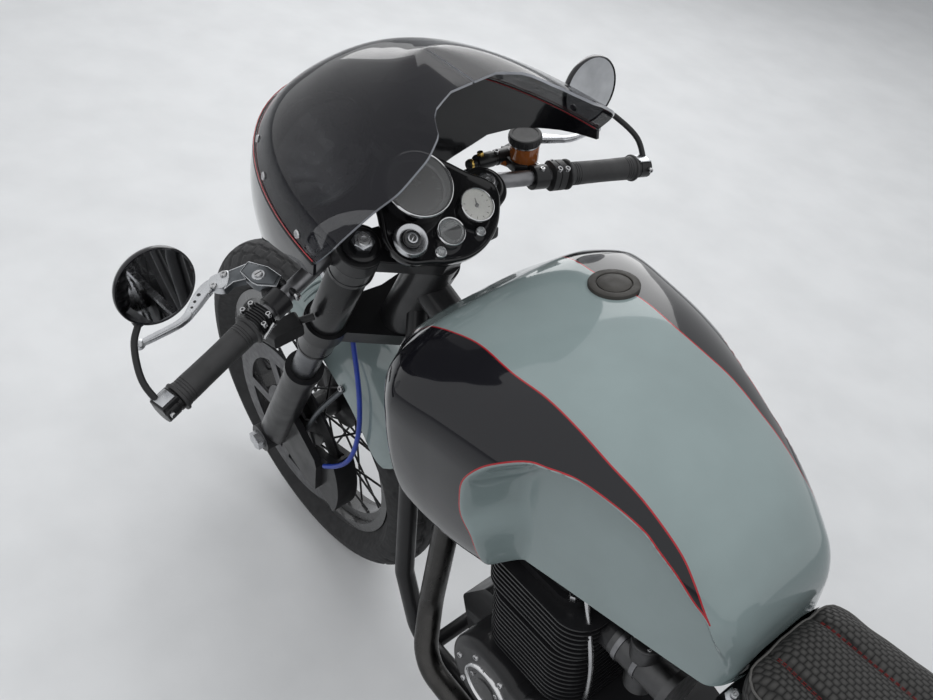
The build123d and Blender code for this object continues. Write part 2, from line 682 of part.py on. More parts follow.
with BuildPart() as front_fender:
    fender_plane = wheel_section(front_axle_at)
    with BuildSketch(fender_plane) as fender_section:
        with BuildLine() as fender_edge:
            for skin in (0, FENDER_SKIN):
                ThreePointArc(
                    (FENDER_SKIRT, FENDER_HALF_WIDTH - skin),
                    (FENDER_CROWN - 22 - skin, FENDER_HALF_WIDTH * 0.86 - skin * 0.8),
                    (FENDER_CROWN - skin, 0),
                )
                ThreePointArc(
                    (FENDER_SKIRT, skin - FENDER_HALF_WIDTH),
                    (FENDER_CROWN - 22 - skin, skin * 0.8 - FENDER_HALF_WIDTH * 0.86),
                    (FENDER_CROWN - skin, 0),
                )
            for side in (1, -1):
                fender_lip = FENDER_HALF_WIDTH - FENDER_SKIN
                Line((FENDER_SKIRT, side * FENDER_HALF_WIDTH), (FENDER_SKIRT, side * fender_lip))
        make_face()
    revolve(fender_section.sketch, axis=Axis(front_axle_at, (0, -1, 0)), revolution_arc=FENDER_REAR - 90)
    revolve(fender_section.sketch, axis=Axis(front_axle_at, (0, 1, 0)), revolution_arc=90 - FENDER_FRONT)
    for side in (1, -1):
        stay_top = (545, side * (FENDER_HALF_WIDTH + 1), 552)
        stay_foot = in_steering(2, side * STAY_Y, 62)
        bent_tube([stay_top, (610, side * STAY_Y, 450), stay_foot], 30, 4)
        stay_reach = LUG_INNER_Y - STAY_Y - SEAT_GAP
        bar_between(stay_foot, stay_foot + Vector(0, side * stay_reach, 0), 8)
        fender_mount = in_steering(FORK_OFFSET, side * (FENDER_HALF_WIDTH - 2), 262)
        mount_reach = FORK_HALF_SPAN - SLIDER_RADIUS - SEAT_GAP - FENDER_HALF_WIDTH + 2
        bar_between(fender_mount, fender_mount + Vector(0, side * mount_reach, 0), 9)
front_fender.part.label = "front_fender"


def bar_line(side):
    """Inner end, grip start and outer end of a clip-on bar."""
    inner = Vector(GRIP_INNER_END[0], side * GRIP_INNER_END[1], GRIP_INNER_END[2])
    outer = Vector(GRIP_OUTER_END[0], side * GRIP_OUTER_END[1], GRIP_OUTER_END[2])
    way = (inner - outer).normalized()
    root = inner + way * ((inner.Y * side - FORK_HALF_SPAN + 2) / abs(way.Y))
    return root, inner, outer


with BuildPart() as clip_ons:
    for side in (1, -1):
        root, inner, outer = bar_line(side)
        bar_between(root, outer + (outer - inner).normalized() * 12, BAR_RADIUS)
        with BuildSketch(steering.offset(CLIP_ON_BOTTOM)) as clip_ring:
            with Locations((FORK_OFFSET, side * FORK_HALF_SPAN)):
                Circle(STANCHION_RADIUS + 10)
            with Locations((FORK_OFFSET + 26, side * FORK_HALF_SPAN)):
                RectangleRounded(34, 34, 8)
        extrude(clip_ring.sketch, amount=TOP_CLAMP_BOTTOM - SEAT_GAP - CLIP_ON_BOTTOM)
        with BuildSketch(steering.offset(CLIP_ON_BOTTOM - 20)) as clip_bore:
            with Locations((FORK_OFFSET, side * FORK_HALF_SPAN)):
                Circle(STANCHION_RADIUS + RUNNING_GAP)
        extrude(clip_bore.sketch, amount=100, mode=Mode.SUBTRACT)
clip_ons.part.label = "clip_ons"

with BuildPart() as grips:
    for side in (1, -1):
        root, inner, outer = bar_line(side)
        along = (outer - inner).normalized()
        bar_between(inner, outer, GRIP_RADIUS)
        bar_between(inner, inner + along * 5, GRIP_RADIUS + 5)
        bar_between(outer - along * 4, outer, GRIP_RADIUS + 3)
        bar_between(inner - along * 2, outer + along * 2, BAR_BORE, mode=Mode.SUBTRACT)
grips.part.label = "grips"

with BuildPart() as mirrors:
    for side in (1, -1):
        root, inner, outer = bar_line(side)
        along = (outer - inner).normalized()
        clamp_start = outer + along * SEAT_GAP
        clamp_end = outer + along * 26
        bar_between(clamp_start, clamp_end, 15)
        bar_between(clamp_start, outer + along * 12.5, BAR_BORE, mode=Mode.SUBTRACT)
        glass = Vector(MIRROR_CENTRE[0], side * MIRROR_CENTRE[1], MIRROR_CENTRE[2])
        facing = Vector(MIRROR_FACING[0], side * MIRROR_FACING[1], MIRROR_FACING[2])
        mount = outer + along * 20
        elbows = [mount + Vector(x, side * y, z) for x, y, z in MIRROR_ARM]
        rim_foot = glass + Vector(-4, side * 27, -MIRROR_RADIUS + 10) - facing * 8
        bent_tube([mount, *elbows, rim_foot], 18, 4.5)
        with BuildSketch(Plane(origin=glass, z_dir=-facing)) as shell:
            Circle(MIRROR_RADIUS)
        extrude(shell.sketch, amount=16, taper=20)
mirrors.part.label = "mirrors"


with BuildPart() as clutch_lever:
    root, inner, outer = bar_line(1)
    along = (outer - inner).normalized()
    perch_at = inner - along * 44
    bar_between(perch_at - along * 13, perch_at + along * 13, BAR_RADIUS + 6)
    bar_between(perch_at, LEVER_PIVOT, 9)
    bar_between(LEVER_PIVOT - Vector(0, 0, 9), LEVER_PIVOT + Vector(0, 0, 9), 12)
    bar_between(perch_at - along * 24, perch_at + along * 24, BAR_BORE, mode=Mode.SUBTRACT)
    bent_tube([LEVER_PIVOT, LEVER_KNEE, LEVER_TIP], 30, 6)
    bar_between(LEVER_TIP, LEVER_TIP + Vector(0, 0.1, 0), 8)
clutch_lever.part.label = "clutch_lever"

with BuildPart() as brake_lever:
    root, inner, outer = bar_line(-1)
    along = (outer - inner).normalized()
    perch_at = inner - along * 44
    bar_between(perch_at - along * 13, perch_at + along * 13, BAR_RADIUS + 6)
    pivot = mirrored(LEVER_PIVOT)
    bar_between(perch_at, pivot, 9)
    bar_between(pivot - Vector(0, 0, 9), pivot + Vector(0, 0, 9), 12)
    cylinder_end = pivot + Vector(4, 70, 10)
    bar_between(pivot, cylinder_end, 11)
    reservoir_foot = Vector(466, -212, 898)
    bar_between(pivot + Vector(2, 30, 5), reservoir_foot + Vector(0, 0, 6), 5)
    bar_between(reservoir_foot, reservoir_foot + Vector(0, 0, 40), 21)
    bar_between(reservoir_foot + Vector(0, 0, 38), reservoir_foot + Vector(0, 0, 52), 23)
    bar_between(perch_at - along * 24, perch_at + along * 24, BAR_BORE, mode=Mode.SUBTRACT)
    bent_tube([pivot, mirrored(LEVER_KNEE), mirrored(LEVER_TIP)], 30, 6)
brake_lever.part.label = "brake_lever"

with BuildPart() as switch_blocks:
    for side in (1, -1):
        root, inner, outer = bar_line(side)
        along = (outer - inner).normalized()
        block = Plane(origin=inner - along * 26, x_dir=(0, 0, 1), z_dir=along)
        with BuildSketch(block) as block_outline:
            RectangleRounded(40, 36, 8)
            Circle(BAR_BORE, mode=Mode.SUBTRACT)
        extrude(block_outline.sketch, amount=22)
switch_blocks.part.label = "switch_blocks"


# Cockpit: dash panel and dials
panel = Plane(origin=PANEL_CENTRE, x_dir=(0, -1, 0), z_dir=PANEL_NORMAL)
with BuildPart() as instrument_panel:
    with BuildSketch(panel) as panel_outline:
        with BuildLine():
            Spline(*PANEL_OUTLINE, periodic=True)
        make_face()
    extrude(panel_outline.sketch, amount=-PANEL_THICKNESS)
    for x, y, radius, rise in DIALS:
        with BuildSketch(panel) as pocket:
            with Locations((x, y)):
                Circle(radius + SEAT_GAP)
        extrude(pocket.sketch, amount=-DIAL_POCKET, mode=Mode.SUBTRACT)
    stalk_foot = TOP_CLAMP_TOP + 2 * SEAT_GAP + STEM_NUT_HEIGHT
    bar_between(in_steering(0, 0, stalk_foot), in_steering(0, 0, stalk_foot + PANEL_STALK_LENGTH), 12)
instrument_panel.part.label = "instrument_panel"

with BuildPart() as gauges:
    for x, y, radius, rise in DIALS:
        with BuildSketch(panel.offset(SEAT_GAP - DIAL_POCKET)) as dial:
            with Locations((x, y)):
                Circle(radius)
        extrude(dial.sketch, amount=DIAL_POCKET + rise)
gauges.part.label = "gauges"


# Fairing, screen and lamps
def bubble_outline(nose, half_width, inset):
    """Fairing or screen seen from above at one height: full round nose and straight sides."""
    reach = nose - inset - SHOULDER_X
    spread = half_width - inset
    power = 2 / NOSE_FULLNESS
    curve = []
    for step in range(-8, 9):
        angle = radians(step * 90 / 8)
        across = copysign(abs(sin(angle)) ** power, step)
        curve.append((SHOULDER_X + reach * cos(angle) ** power, spread * across))
    with BuildLine() as outline:
        Spline(*curve, tangents=[(1, 0), (-1, 0)])
        Polyline(
            (SHOULDER_X, spread), (SIDE_REAR_X, spread), (SIDE_REAR_X, -spread), (SHOULDER_X, -spread),
        )
    make_face(outline.line.edges())


def bubble(rows, inset, mode):
    """Solid through rows of height, nose reach and half width."""
    sections = []
    for height, nose, half_width in rows:
        with BuildSketch(Plane.XY.offset(height)) as section:
            bubble_outline(nose, half_width, inset)
        sections.append(section.sketch)
    loft(sections, mode=mode)


def cut_from_side(points):
    """Cut a side view outline right through the open part."""
    with BuildSketch(Plane.XZ.offset(-400)) as side_view:
        closed_face(points)
    extrude(side_view.sketch, amount=800, mode=Mode.SUBTRACT)


with BuildPart() as fairing:
    outer_rows = [(FAIRING_TOP - fall, nose, half_width) for fall, nose, half_width in FAIRING_SECTIONS]
    bubble(outer_rows, 0, Mode.ADD)
    lowest = FAIRING_SECTIONS[-1][0]
    inner_rows = [
        (FAIRING_TOP + 1 - fall * (lowest + 2) / lowest, nose, half_width)
        for fall, nose, half_width in FAIRING_SECTIONS
    ]
    bubble(inner_rows, FAIRING_SKIN, Mode.SUBTRACT)
    cut_from_side([(x, FAIRING_TOP - fall) for x, fall in FAIRING_CUT])
    lamp_at = Vector(*LAMP_CENTRE)
    opening_from = lamp_at - Vector(LAMP_DEPTH, 0, 0)
    opening_to = lamp_at + Vector(LAMP_DEPTH, 0, 0)
    bar_between(opening_from, opening_to, LAMP_RADIUS + SEAT_GAP, mode=Mode.SUBTRACT)
fairing.part.label = "fairing"

with BuildPart() as windscreen:
    outer_rows = [(SCREEN_BASE + rise, nose, half_width) for rise, nose, half_width in SCREEN_SECTIONS]
    bubble(outer_rows, 0, Mode.ADD)
    highest = SCREEN_SECTIONS[-1][0]
    inner_rows = [
        (SCREEN_BASE - 1 + rise * (highest + 1 - SCREEN_SKIN) / highest, nose, half_width)
        for rise, nose, half_width in SCREEN_SECTIONS
    ]
    bubble(inner_rows, SCREEN_SKIN, Mode.SUBTRACT)
    cut_from_side([(x, SCREEN_BASE + rise) for x, rise in SCREEN_CUT])
windscreen.part.label = "windscreen"

with BuildPart() as headlamp:
    with BuildSketch(Plane(origin=LAMP_CENTRE, x_dir=(0, 0, 1), z_dir=(0, 1, 0))) as bowl:
        with BuildLine():
            Polyline(
                (0, 0),
                (0, -LAMP_DEPTH),
                (40, -LAMP_DEPTH),
                (LAMP_RADIUS, LAMP_RIM_BACK),
                (LAMP_RADIUS, LAMP_RIM_FRONT),
                (LAMP_RADIUS - 8, LAMP_RIM_FRONT),
                (LAMP_RADIUS - 8, 0),
                close=True,
            )
        make_face()
    revolve(bowl.sketch, axis=Axis(LAMP_CENTRE, (1, 0, 0)))
    for side in (1, -1):
        bar_between(
            (LAMP_CENTRE[0] + LAMP_RIM_BACK, side * (LAMP_RADIUS - 16), LAMP_CENTRE[2]),
            in_steering(FORK_OFFSET + COVER_RADIUS + SEAT_GAP + 1, side * FORK_HALF_SPAN, 560),
            7,
        )
headlamp.part.label = "headlamp"

with BuildPart() as headlamp_lens:
    with BuildSketch(Plane(origin=LAMP_CENTRE, x_dir=(0, 0, 1), z_dir=(0, 1, 0))) as lens_section:
        with BuildLine():
            Polyline((0, SEAT_GAP), (LENS_RADIUS, SEAT_GAP), (LENS_RADIUS, 14))
            ThreePointArc((LENS_RADIUS, 14), (LENS_RADIUS / 2, LENS_MIDDLE), (0, 28))
            Line((0, 28), (0, SEAT_GAP))
        make_face()
    revolve(lens_section.sketch, axis=Axis(LAMP_CENTRE, (1, 0, 0)))
headlamp_lens.part.label = "headlamp_lens"

with BuildPart() as front_indicators:
    for side in (1, -1):
        inner_point = in_steering(FORK_OFFSET, side * (FORK_HALF_SPAN + COVER_RADIUS + 3), 520)
        outer_point = inner_point + Vector(20, side * 42, -10)
        bar_between(inner_point, outer_point, 5)
        with BuildSketch(Plane(origin=outer_point, x_dir=(0, side, 0), z_dir=(-1, 0, 0))) as lamp:
            RectangleRounded(56, 30, 9)
        extrude(lamp.sketch, amount=24, taper=12)
front_indicators.part.label = "front_indicators"


# Frame: head tube, backbone, twin cradle and seat rails
with BuildPart() as frame_main:
    head_bottom = in_steering(0, 0, LOWER_CLAMP_TOP + SEAT_GAP)
    head_top = in_steering(0, 0, TOP_CLAMP_BOTTOM - SEAT_GAP)
    bar_between(head_bottom, head_top, HEAD_TUBE_RADIUS)
    bent_tube([in_steering(0, 0, 600), SPINE_BEND, SPINE_END], 90, SPINE_RADIUS)
    for side in (1, -1):
        y = side * CRADLE_HALF_WIDTH
        loop = [
            in_steering(0, 0, 575),
            (368, side * 58, 640),
            (335, y, 350),
            (300, y, RAIL_HEIGHT),
            (-190, y, RAIL_HEIGHT),
            (UPRIGHT_X, y, RAIL_HEIGHT + 110),
            (UPRIGHT_X, y, SPINE_END[2] - 60),
            (UPRIGHT_X, side * (CRADLE_HALF_WIDTH - 30), SPINE_END[2]),
        ]
        bent_tube(loop, 45, CRADLE_RADIUS)
        with BuildSketch(side_plane(side * (SWINGARM_HALF_WIDTH + SEAT_GAP))) as pivot_plate:
            plate_front, plate_back = -UPRIGHT_X - 14, -UPRIGHT_X + 12
            plate_end = -SWINGARM_PIVOT[0] + 26
            closed_face([
                (plate_front, 470), (plate_back, 470), (plate_end, 400),
                (plate_end, 368), (plate_back, 310), (plate_front, 310),
            ])
            with Locations((-SWINGARM_PIVOT[0], SWINGARM_PIVOT[2])):
                Circle(AXLE_RADIUS + RUNNING_GAP, mode=Mode.SUBTRACT)
        extrude(pivot_plate.sketch, amount=side * 8)
        for boss_z in (330, 450):
            boss_y = side * (SWINGARM_HALF_WIDTH + 2)
            bar_between((UPRIGHT_X, y, boss_z), (UPRIGHT_X, boss_y, boss_z), 12)
    cross_bar(UPRIGHT_X, SPINE_END[2], 30 - CRADLE_HALF_WIDTH, CRADLE_HALF_WIDTH - 30, CRADLE_RADIUS)
    bar_between((HORN_BAR_X, -73, HORN_BAR_Z), (HORN_BAR_X, 73, HORN_BAR_Z), HORN_BAR_RADIUS)
    spine_slope = (SPINE_BEND[2] - SPINE_END[2]) / (SPINE_BEND[0] - SPINE_END[0])
    peg_half = TUNNEL_HALF_WIDTH - SEAT_GAP
    for peg_x in TANK_PEG_STATIONS:
        cross_bar(peg_x, SPINE_END[2] + (peg_x - SPINE_END[0]) * spine_slope, -peg_half, peg_half, 12)
    for cross_x in (270, -150):
        bar_between((cross_x, -CRADLE_HALF_WIDTH, RAIL_HEIGHT), (cross_x, CRADLE_HALF_WIDTH, RAIL_HEIGHT), 12)
    bar_between(head_bottom, head_top, STEM_RADIUS + SEAT_GAP, mode=Mode.SUBTRACT)
    bar_between(STAND_PIVOT - STAND_AXIS * 26, STAND_PIVOT - STAND_AXIS * SEAT_GAP, 14)
    hanger = Vector(STAND_PIVOT.X + 3, CRADLE_HALF_WIDTH - 28, RAIL_HEIGHT - 8)
    bar_between(STAND_PIVOT - STAND_AXIS * 18, hanger, 8)
    bar_between(hanger - Vector(0, 6, 0), hanger + Vector(0, 19, 2), 8)
    bolt_head = STAND_PIVOT + STAND_AXIS * (KNUCKLE_LENGTH + 2 * SEAT_GAP)
    bar_between(STAND_PIVOT - STAND_AXIS, bolt_head, 8)
    bar_between(bolt_head, STAND_PIVOT + STAND_AXIS * (KNUCKLE_LENGTH + 5), 12)
frame_main.part.label = "frame_main"

with BuildPart() as rear_subframe:
    rail_y = SEAT_RAIL_HALF_WIDTH
    rail_z = SEAT_RAIL_HEIGHT
    start_x = UPRIGHT_X - CRADLE_RADIUS - 6
    for side in (1, -1):
        rail_route = [
            (start_x, side * (CRADLE_HALF_WIDTH - 24), SPINE_END[2]),
            (-330, side * rail_y, rail_z),
            (TAIL_LOOP_X, side * rail_y, rail_z + 12),
        ]
        bent_tube(rail_route, 60, SEAT_RAIL_RADIUS)
        brace_foot = (UPRIGHT_X - CRADLE_RADIUS - 7, side * CRADLE_HALF_WIDTH, 474)
        bar_between(brace_foot, (SHOCK_TOP[0] + 30, side * rail_y, rail_z), 9)
        cross_bar(SHOCK_TOP[0], SHOCK_TOP[2], side * (rail_y - 4), side * (SHOCK_TOP[1] + 14), 8)
        shock_bracket_top = (SHOCK_TOP[0], side * rail_y, rail_z + 16)
        bar_between((SHOCK_TOP[0], side * rail_y, SHOCK_TOP[2]), shock_bracket_top, 10)
    bar_between((TAIL_LOOP_X, -rail_y, rail_z + 12), (TAIL_LOOP_X, rail_y, rail_z + 12), SEAT_RAIL_RADIUS)
    bar_between((-420, -rail_y, rail_z + 8), (-420, rail_y, rail_z + 8), 9)
    for side in (1, -1):
        for pad_x, pad_top in SEAT_PADS:
            bar_between((pad_x, side * 82, rail_z + 2), (pad_x, side * 82, SEAT_BASE + pad_top), 9)
rear_subframe.part.label = "rear_subframe"

with BuildPart() as swingarm:
    pivot_x, pivot_z = SWINGARM_PIVOT[0], SWINGARM_PIVOT[2]
    bar_between((pivot_x, -SWINGARM_HALF_WIDTH, pivot_z), (pivot_x, SWINGARM_HALF_WIDTH, pivot_z), 25)
    for side in (1, -1):
        y = side * SWINGARM_HALF_WIDTH
        inner_y = side * (SWINGARM_HALF_WIDTH - SWINGARM_WALL)
        arm_end_x, arm_end_z = -rear_axle_at.X, rear_axle_at.Z
        with BuildSketch(side_plane(inner_y)) as arm:
            closed_face([
                (-pivot_x, pivot_z + 24),
                (arm_end_x - 20, arm_end_z + 22),
                (arm_end_x + 34, arm_end_z + 20),
                (arm_end_x + 34, arm_end_z - 20),
                (arm_end_x - 20, arm_end_z - 22),
                (-pivot_x, pivot_z - 24),
            ])
        extrude(arm.sketch, amount=side * SWINGARM_WALL)
        cross_bar(SHOCK_FOOT[0], SHOCK_FOOT[2], y - side, side * (SHOCK_FOOT[1] + 14), 8)
        cross_bar(SHOCK_FOOT[0], SHOCK_FOOT[2], inner_y, y, 16)
    for bore_x, bore_z in ((pivot_x, pivot_z), (rear_axle_at.X, rear_axle_at.Z)):
        spindle_bore = AXLE_RADIUS + RUNNING_GAP
        cross_bar(bore_x, bore_z, -SWINGARM_HALF_WIDTH, SWINGARM_HALF_WIDTH, spindle_bore, Mode.SUBTRACT)
    for side in (1, -1):
        bobbin_x = rear_axle_at.X + 130
        bobbin_end = SWINGARM_HALF_WIDTH + BOBBIN_LENGTH
        bore_start = SWINGARM_HALF_WIDTH - 4
        cross_bar(bobbin_x, rear_axle_at.Z, side * SWINGARM_HALF_WIDTH, side * bobbin_end, 11)
        bore_end = side * (bobbin_end + 1)
        cross_bar(bobbin_x, rear_axle_at.Z, side * bore_start, bore_end, BOBBIN_BORE, Mode.SUBTRACT)
swingarm.part.label = "swingarm"

with BuildPart() as pivot_spindles:
    pivot_spindle = (Vector(*SWINGARM_PIVOT), SWINGARM_HALF_WIDTH + 8.6)
    rear_spindle = (rear_axle_at, SWINGARM_HALF_WIDTH + SEAT_GAP)
    for at, half in (pivot_spindle, rear_spindle):
        cross_bar(at.X, at.Z, -half, half, AXLE_RADIUS)
        for side in (1, -1):
            with BuildSketch(Plane(origin=(at.X, side * half, at.Z), z_dir=(0, side, 0))) as spindle_nut:
                RegularPolygon(16, 6)
            extrude(spindle_nut.sketch, amount=12)
pivot_spindles.part.label = "pivot_spindles"

with BuildPart() as shock_absorbers:
    for side in (1, -1):
        top = Vector(SHOCK_TOP[0], side * SHOCK_TOP[1], SHOCK_TOP[2])
        foot = Vector(SHOCK_FOOT[0], side * SHOCK_FOOT[1], SHOCK_FOOT[2])
        way = (top - foot).normalized()
        for eye in (top, foot):
            bar_between(eye - Vector(0, 12, 0), eye + Vector(0, 12, 0), 17)
        bar_between(foot, top, 9)
        bar_between(foot + way * 40, top - way * 24, 17)
        bar_between(foot + way * (SPRING_SEAT - 8), foot + way * SPRING_SEAT, 31)
        bar_between(top - way * SPRING_SEAT, top - way * 22, 30)
        for eye in (top, foot):
            cross_bar(eye.X, eye.Z, eye.Y - 13, eye.Y + 13, 8 + RUNNING_GAP, Mode.SUBTRACT)
        spring_length = (top - foot).length - 2 * SPRING_SEAT
        coil_pitch = spring_length / SPRING_COILS
        coil_plane = Plane(origin=foot + way * SPRING_SEAT, x_dir=(0, 1, 0), z_dir=Vector(0, 1, 0).cross(way))
        with BuildSketch(coil_plane) as coils:
            with BuildLine() as coil_edge:
                for index in range(SPRING_COILS):
                    low, high = index * coil_pitch, (index + 1) * coil_pitch
                    crest = (SPRING_RADIUS + 6, (low + high) / 2)
                    ThreePointArc((SPRING_RADIUS, low), crest, (SPRING_RADIUS, high))
                Polyline((SPRING_RADIUS, spring_length), (16, spring_length), (16, 0), (SPRING_RADIUS, 0))
            make_face()
        revolve(coils.sketch, axis=Axis(foot, way))
shock_absorbers.part.label = "shock_absorbers"

with BuildPart() as rear_caliper:
    with BuildSketch(wheel_disc_plane(rear_axle_at, REAR_DISC_Y - 22)) as rear_caliper_outline:
        with BuildLine():
            inner_r, outer_r = REAR_DISC_RADIUS - 44, REAR_DISC_RADIUS + 18
            a0, a1 = radians(-75), radians(-25)
            CenterArc((0, 0), outer_r, -75, 50)
            CenterArc((0, 0), inner_r, -75, 50)
            Line((inner_r * cos(a0), inner_r * sin(a0)), (outer_r * cos(a0), outer_r * sin(a0)))
            Line((inner_r * cos(a1), inner_r * sin(a1)), (outer_r * cos(a1), outer_r * sin(a1)))
        make_face()
    extrude(rear_caliper_outline.sketch, amount=38)
    rear_slot_plane = wheel_disc_plane(rear_axle_at, REAR_DISC_Y - DISC_THICKNESS / 2 - MOVING_GAP)
    with BuildSketch(rear_slot_plane) as rear_slot:
        Circle(REAR_DISC_RADIUS + MOVING_GAP)
    extrude(rear_slot.sketch, amount=DISC_THICKNESS + 2 * MOVING_GAP, mode=Mode.SUBTRACT)
    bracket_y = REAR_DISC_Y - 17
    bracket_x = rear_axle_at.X + 62
    bar_between((bracket_x, bracket_y, rear_axle_at.Z + 64), (bracket_x, bracket_y, rear_axle_at.Z + 4), 6)
    bracket_end = SWINGARM_WALL + SEAT_GAP - SWINGARM_HALF_WIDTH
    cross_bar(bracket_x, rear_axle_at.Z + 4, bracket_y, bracket_end, 8)
rear_caliper.part.label = "rear_caliper"

# Chain: one closed run round both sprockets
with BuildPart() as chain:
    rear_pitch = CHAIN_PITCH / 2 / sin(pi / REAR_TEETH)
    front_pitch = CHAIN_PITCH / 2 / sin(pi / FRONT_TEETH)
    front_at = Vector(*OUTPUT_SHAFT)
    span = front_at - rear_axle_at
    tilt = atan2(span.Z, span.X)
    distance = sqrt(span.X ** 2 + span.Z ** 2)
    chain_at = (rear_axle_at.X, CHAIN_Y - CHAIN_HALF_WIDTH, rear_axle_at.Z)
    chain_plane = Plane(origin=chain_at, x_dir=(cos(tilt), 0, sin(tilt)), z_dir=(0, 1, 0))
    with BuildSketch(chain_plane) as chain_run:
        for grow in (CHAIN_HALF_HEIGHT, -CHAIN_HALF_HEIGHT):
            drop = acos((rear_pitch - front_pitch) / distance)
            rear_r, front_r = rear_pitch + grow, front_pitch + grow
            with BuildLine() as chain_edge:
                upper_rear = (rear_r * cos(drop), rear_r * sin(drop))
                lower_rear = (rear_r * cos(drop), -rear_r * sin(drop))
                upper_front = (distance + front_r * cos(drop), front_r * sin(drop))
                lower_front = (distance + front_r * cos(drop), -front_r * sin(drop))
                ThreePointArc(upper_rear, (-rear_r, 0), lower_rear)
                ThreePointArc(upper_front, (distance + front_r, 0), lower_front)
                Line(upper_rear, upper_front)
                Line(lower_rear, lower_front)
            make_face(chain_edge.line.edges(), mode=Mode.ADD if grow > 0 else Mode.SUBTRACT)
    extrude(chain_run.sketch, amount=2 * CHAIN_HALF_WIDTH)
    with BuildSketch(wheel_disc_plane(rear_axle_at, CHAIN_Y - SPROCKET_THICKNESS / 2 - 1)) as tooth_room:
        Circle(rear_pitch + 3)
    extrude(tooth_room.sketch, amount=SPROCKET_THICKNESS + 2, mode=Mode.SUBTRACT)
    with BuildSketch(wheel_disc_plane(front_at, CHAIN_Y - SPROCKET_THICKNESS / 2 - 1)) as front_tooth_room:
        Circle(front_pitch + 3)
    extrude(front_tooth_room.sketch, amount=SPROCKET_THICKNESS + 2, mode=Mode.SUBTRACT)
chain.part.label = "chain"

# Engine: vertical twin with open fins
with BuildPart() as crankcase:
    with BuildSketch(Plane.XZ.offset(-CASE_HALF_WIDTH)) as case_outline:
        with BuildLine():
            Polyline(
                (215, 300), (232, 380), (180, 455.7), (-110, 455.7),
                (-172, 430), (-185, 330), (-120, 248), (150, 240), close=True,
            )
        make_face()
        fillet(case_outline.vertices(), 22)
    extrude(case_outline.sketch, amount=2 * CASE_HALF_WIDTH)
    cross_bar(OUTPUT_SHAFT[0], OUTPUT_SHAFT[2], CASE_HALF_WIDTH - 2, CHAIN_Y + 4, 14)
    output_face = wheel_disc_plane(Vector(*OUTPUT_SHAFT), CHAIN_Y - SPROCKET_THICKNESS / 2)
    with BuildSketch(output_face) as output_sprocket:
        sprocket_outline(FRONT_TEETH)
    extrude(output_sprocket.sketch, amount=SPROCKET_THICKNESS)
crankcase.part.label = "crankcase"

with BuildPart() as engine_covers:
    for side in (1, -1):
        base_y = side * (CASE_HALF_WIDTH + SEAT_GAP)
        with BuildSketch(side_plane(base_y)) as cover_outline:
            for at_x, at_z, radius in COVER_DISCS:
                with Locations((-at_x, at_z)):
                    Circle(radius)
            with Locations((-40, 375)):
                Rectangle(110, 118)
        extrude(cover_outline.sketch, amount=side * COVER_DEPTH)
        outer_faces = engine_covers.faces().filter_by(Axis.Y).sort_by(Axis.Y)
        rim_face = outer_faces[-1] if side > 0 else outer_faces[0]
        fillet(rim_face.edges(), 14)
    with BuildSketch(side_plane(CHAIN_Y + 14)) as sprocket_cover:
        with Locations((-OUTPUT_SHAFT[0], OUTPUT_SHAFT[2])):
            Circle(56)
        with Locations((-OUTPUT_SHAFT[0] - 50, OUTPUT_SHAFT[2])):
            Rectangle(100, 90)
    extrude(sprocket_cover.sketch, amount=12)
engine_covers.part.label = "engine_covers"

with BuildPart() as cylinder_block:
    bores = [(CYLINDER_X, BORE_SPACING / 2), (CYLINDER_X, -BORE_SPACING / 2)]
    with BuildSketch(Plane.XY.offset(BLOCK_BOTTOM)) as barrels:
        with Locations((CYLINDER_X, 0)):
            RectangleRounded(116, BORE_SPACING + 104, 40)
    extrude(barrels.sketch, amount=BLOCK_TOP - BLOCK_BOTTOM)
    for index in range(BLOCK_FINS):
        with BuildSketch(Plane.XY.offset(BLOCK_BOTTOM + 10 + index * FIN_PITCH)) as fin:
            with Locations((CYLINDER_X, 0)):
                RectangleRounded(FIN_LENGTH, BORE_SPACING + FIN_REACH, 46)
        extrude(fin.sketch, amount=FIN_THICKNESS)
cylinder_block.part.label = "cylinder_block"

with BuildPart() as cylinder_head:
    with BuildSketch(Plane.XY.offset(BLOCK_TOP + SEAT_GAP)) as head_core:
        with Locations((CYLINDER_X, 0)):
            RectangleRounded(124, BORE_SPACING + 108, 30)
    extrude(head_core.sketch, amount=HEAD_TOP - BLOCK_TOP)
    for index in range(HEAD_FINS):
        with BuildSketch(Plane.XY.offset(BLOCK_TOP + 4 + index * FIN_PITCH)) as head_fin:
            with Locations((CYLINDER_X, 0)):
                RectangleRounded(FIN_LENGTH + 8, BORE_SPACING + FIN_REACH, 40)
        extrude(head_fin.sketch, amount=FIN_THICKNESS)
    with BuildSketch(Plane.XY.offset(HEAD_TOP)) as rocker_box:
        with Locations((CYLINDER_X, 0)):
            RectangleRounded(104, BORE_SPACING + 92, 26)
    extrude(rocker_box.sketch, amount=ROCKER_HEIGHT, taper=12)
    for side in (1, -1):
        bar_between((CYLINDER_X + 50, side * PORT_Y, PORT_Z), (PORT_FACE_X, side * PORT_Y, PORT_Z), 27)
        bar_between((CYLINDER_X - 50, side * PORT_Y, PORT_Z), (INTAKE_FACE_X, side * PORT_Y, PORT_Z), 24)
cylinder_head.part.label = "cylinder_head"

with BuildPart() as carburettors:
    for side in (1, -1):
        y = side * PORT_Y
        bar_between((INTAKE_FACE_X - SEAT_GAP, y, PORT_Z), (INTAKE_FACE_X - 90, y, PORT_Z), 24)
        bar_between((INTAKE_FACE_X - 40, y, PORT_Z - 48), (INTAKE_FACE_X - 40, y, PORT_Z + 44), 20)
        bar_between((INTAKE_FACE_X - 86, y, PORT_Z), (INTAKE_FACE_X - 96, y, PORT_Z), 34)
carburettors.part.label = "carburettors"

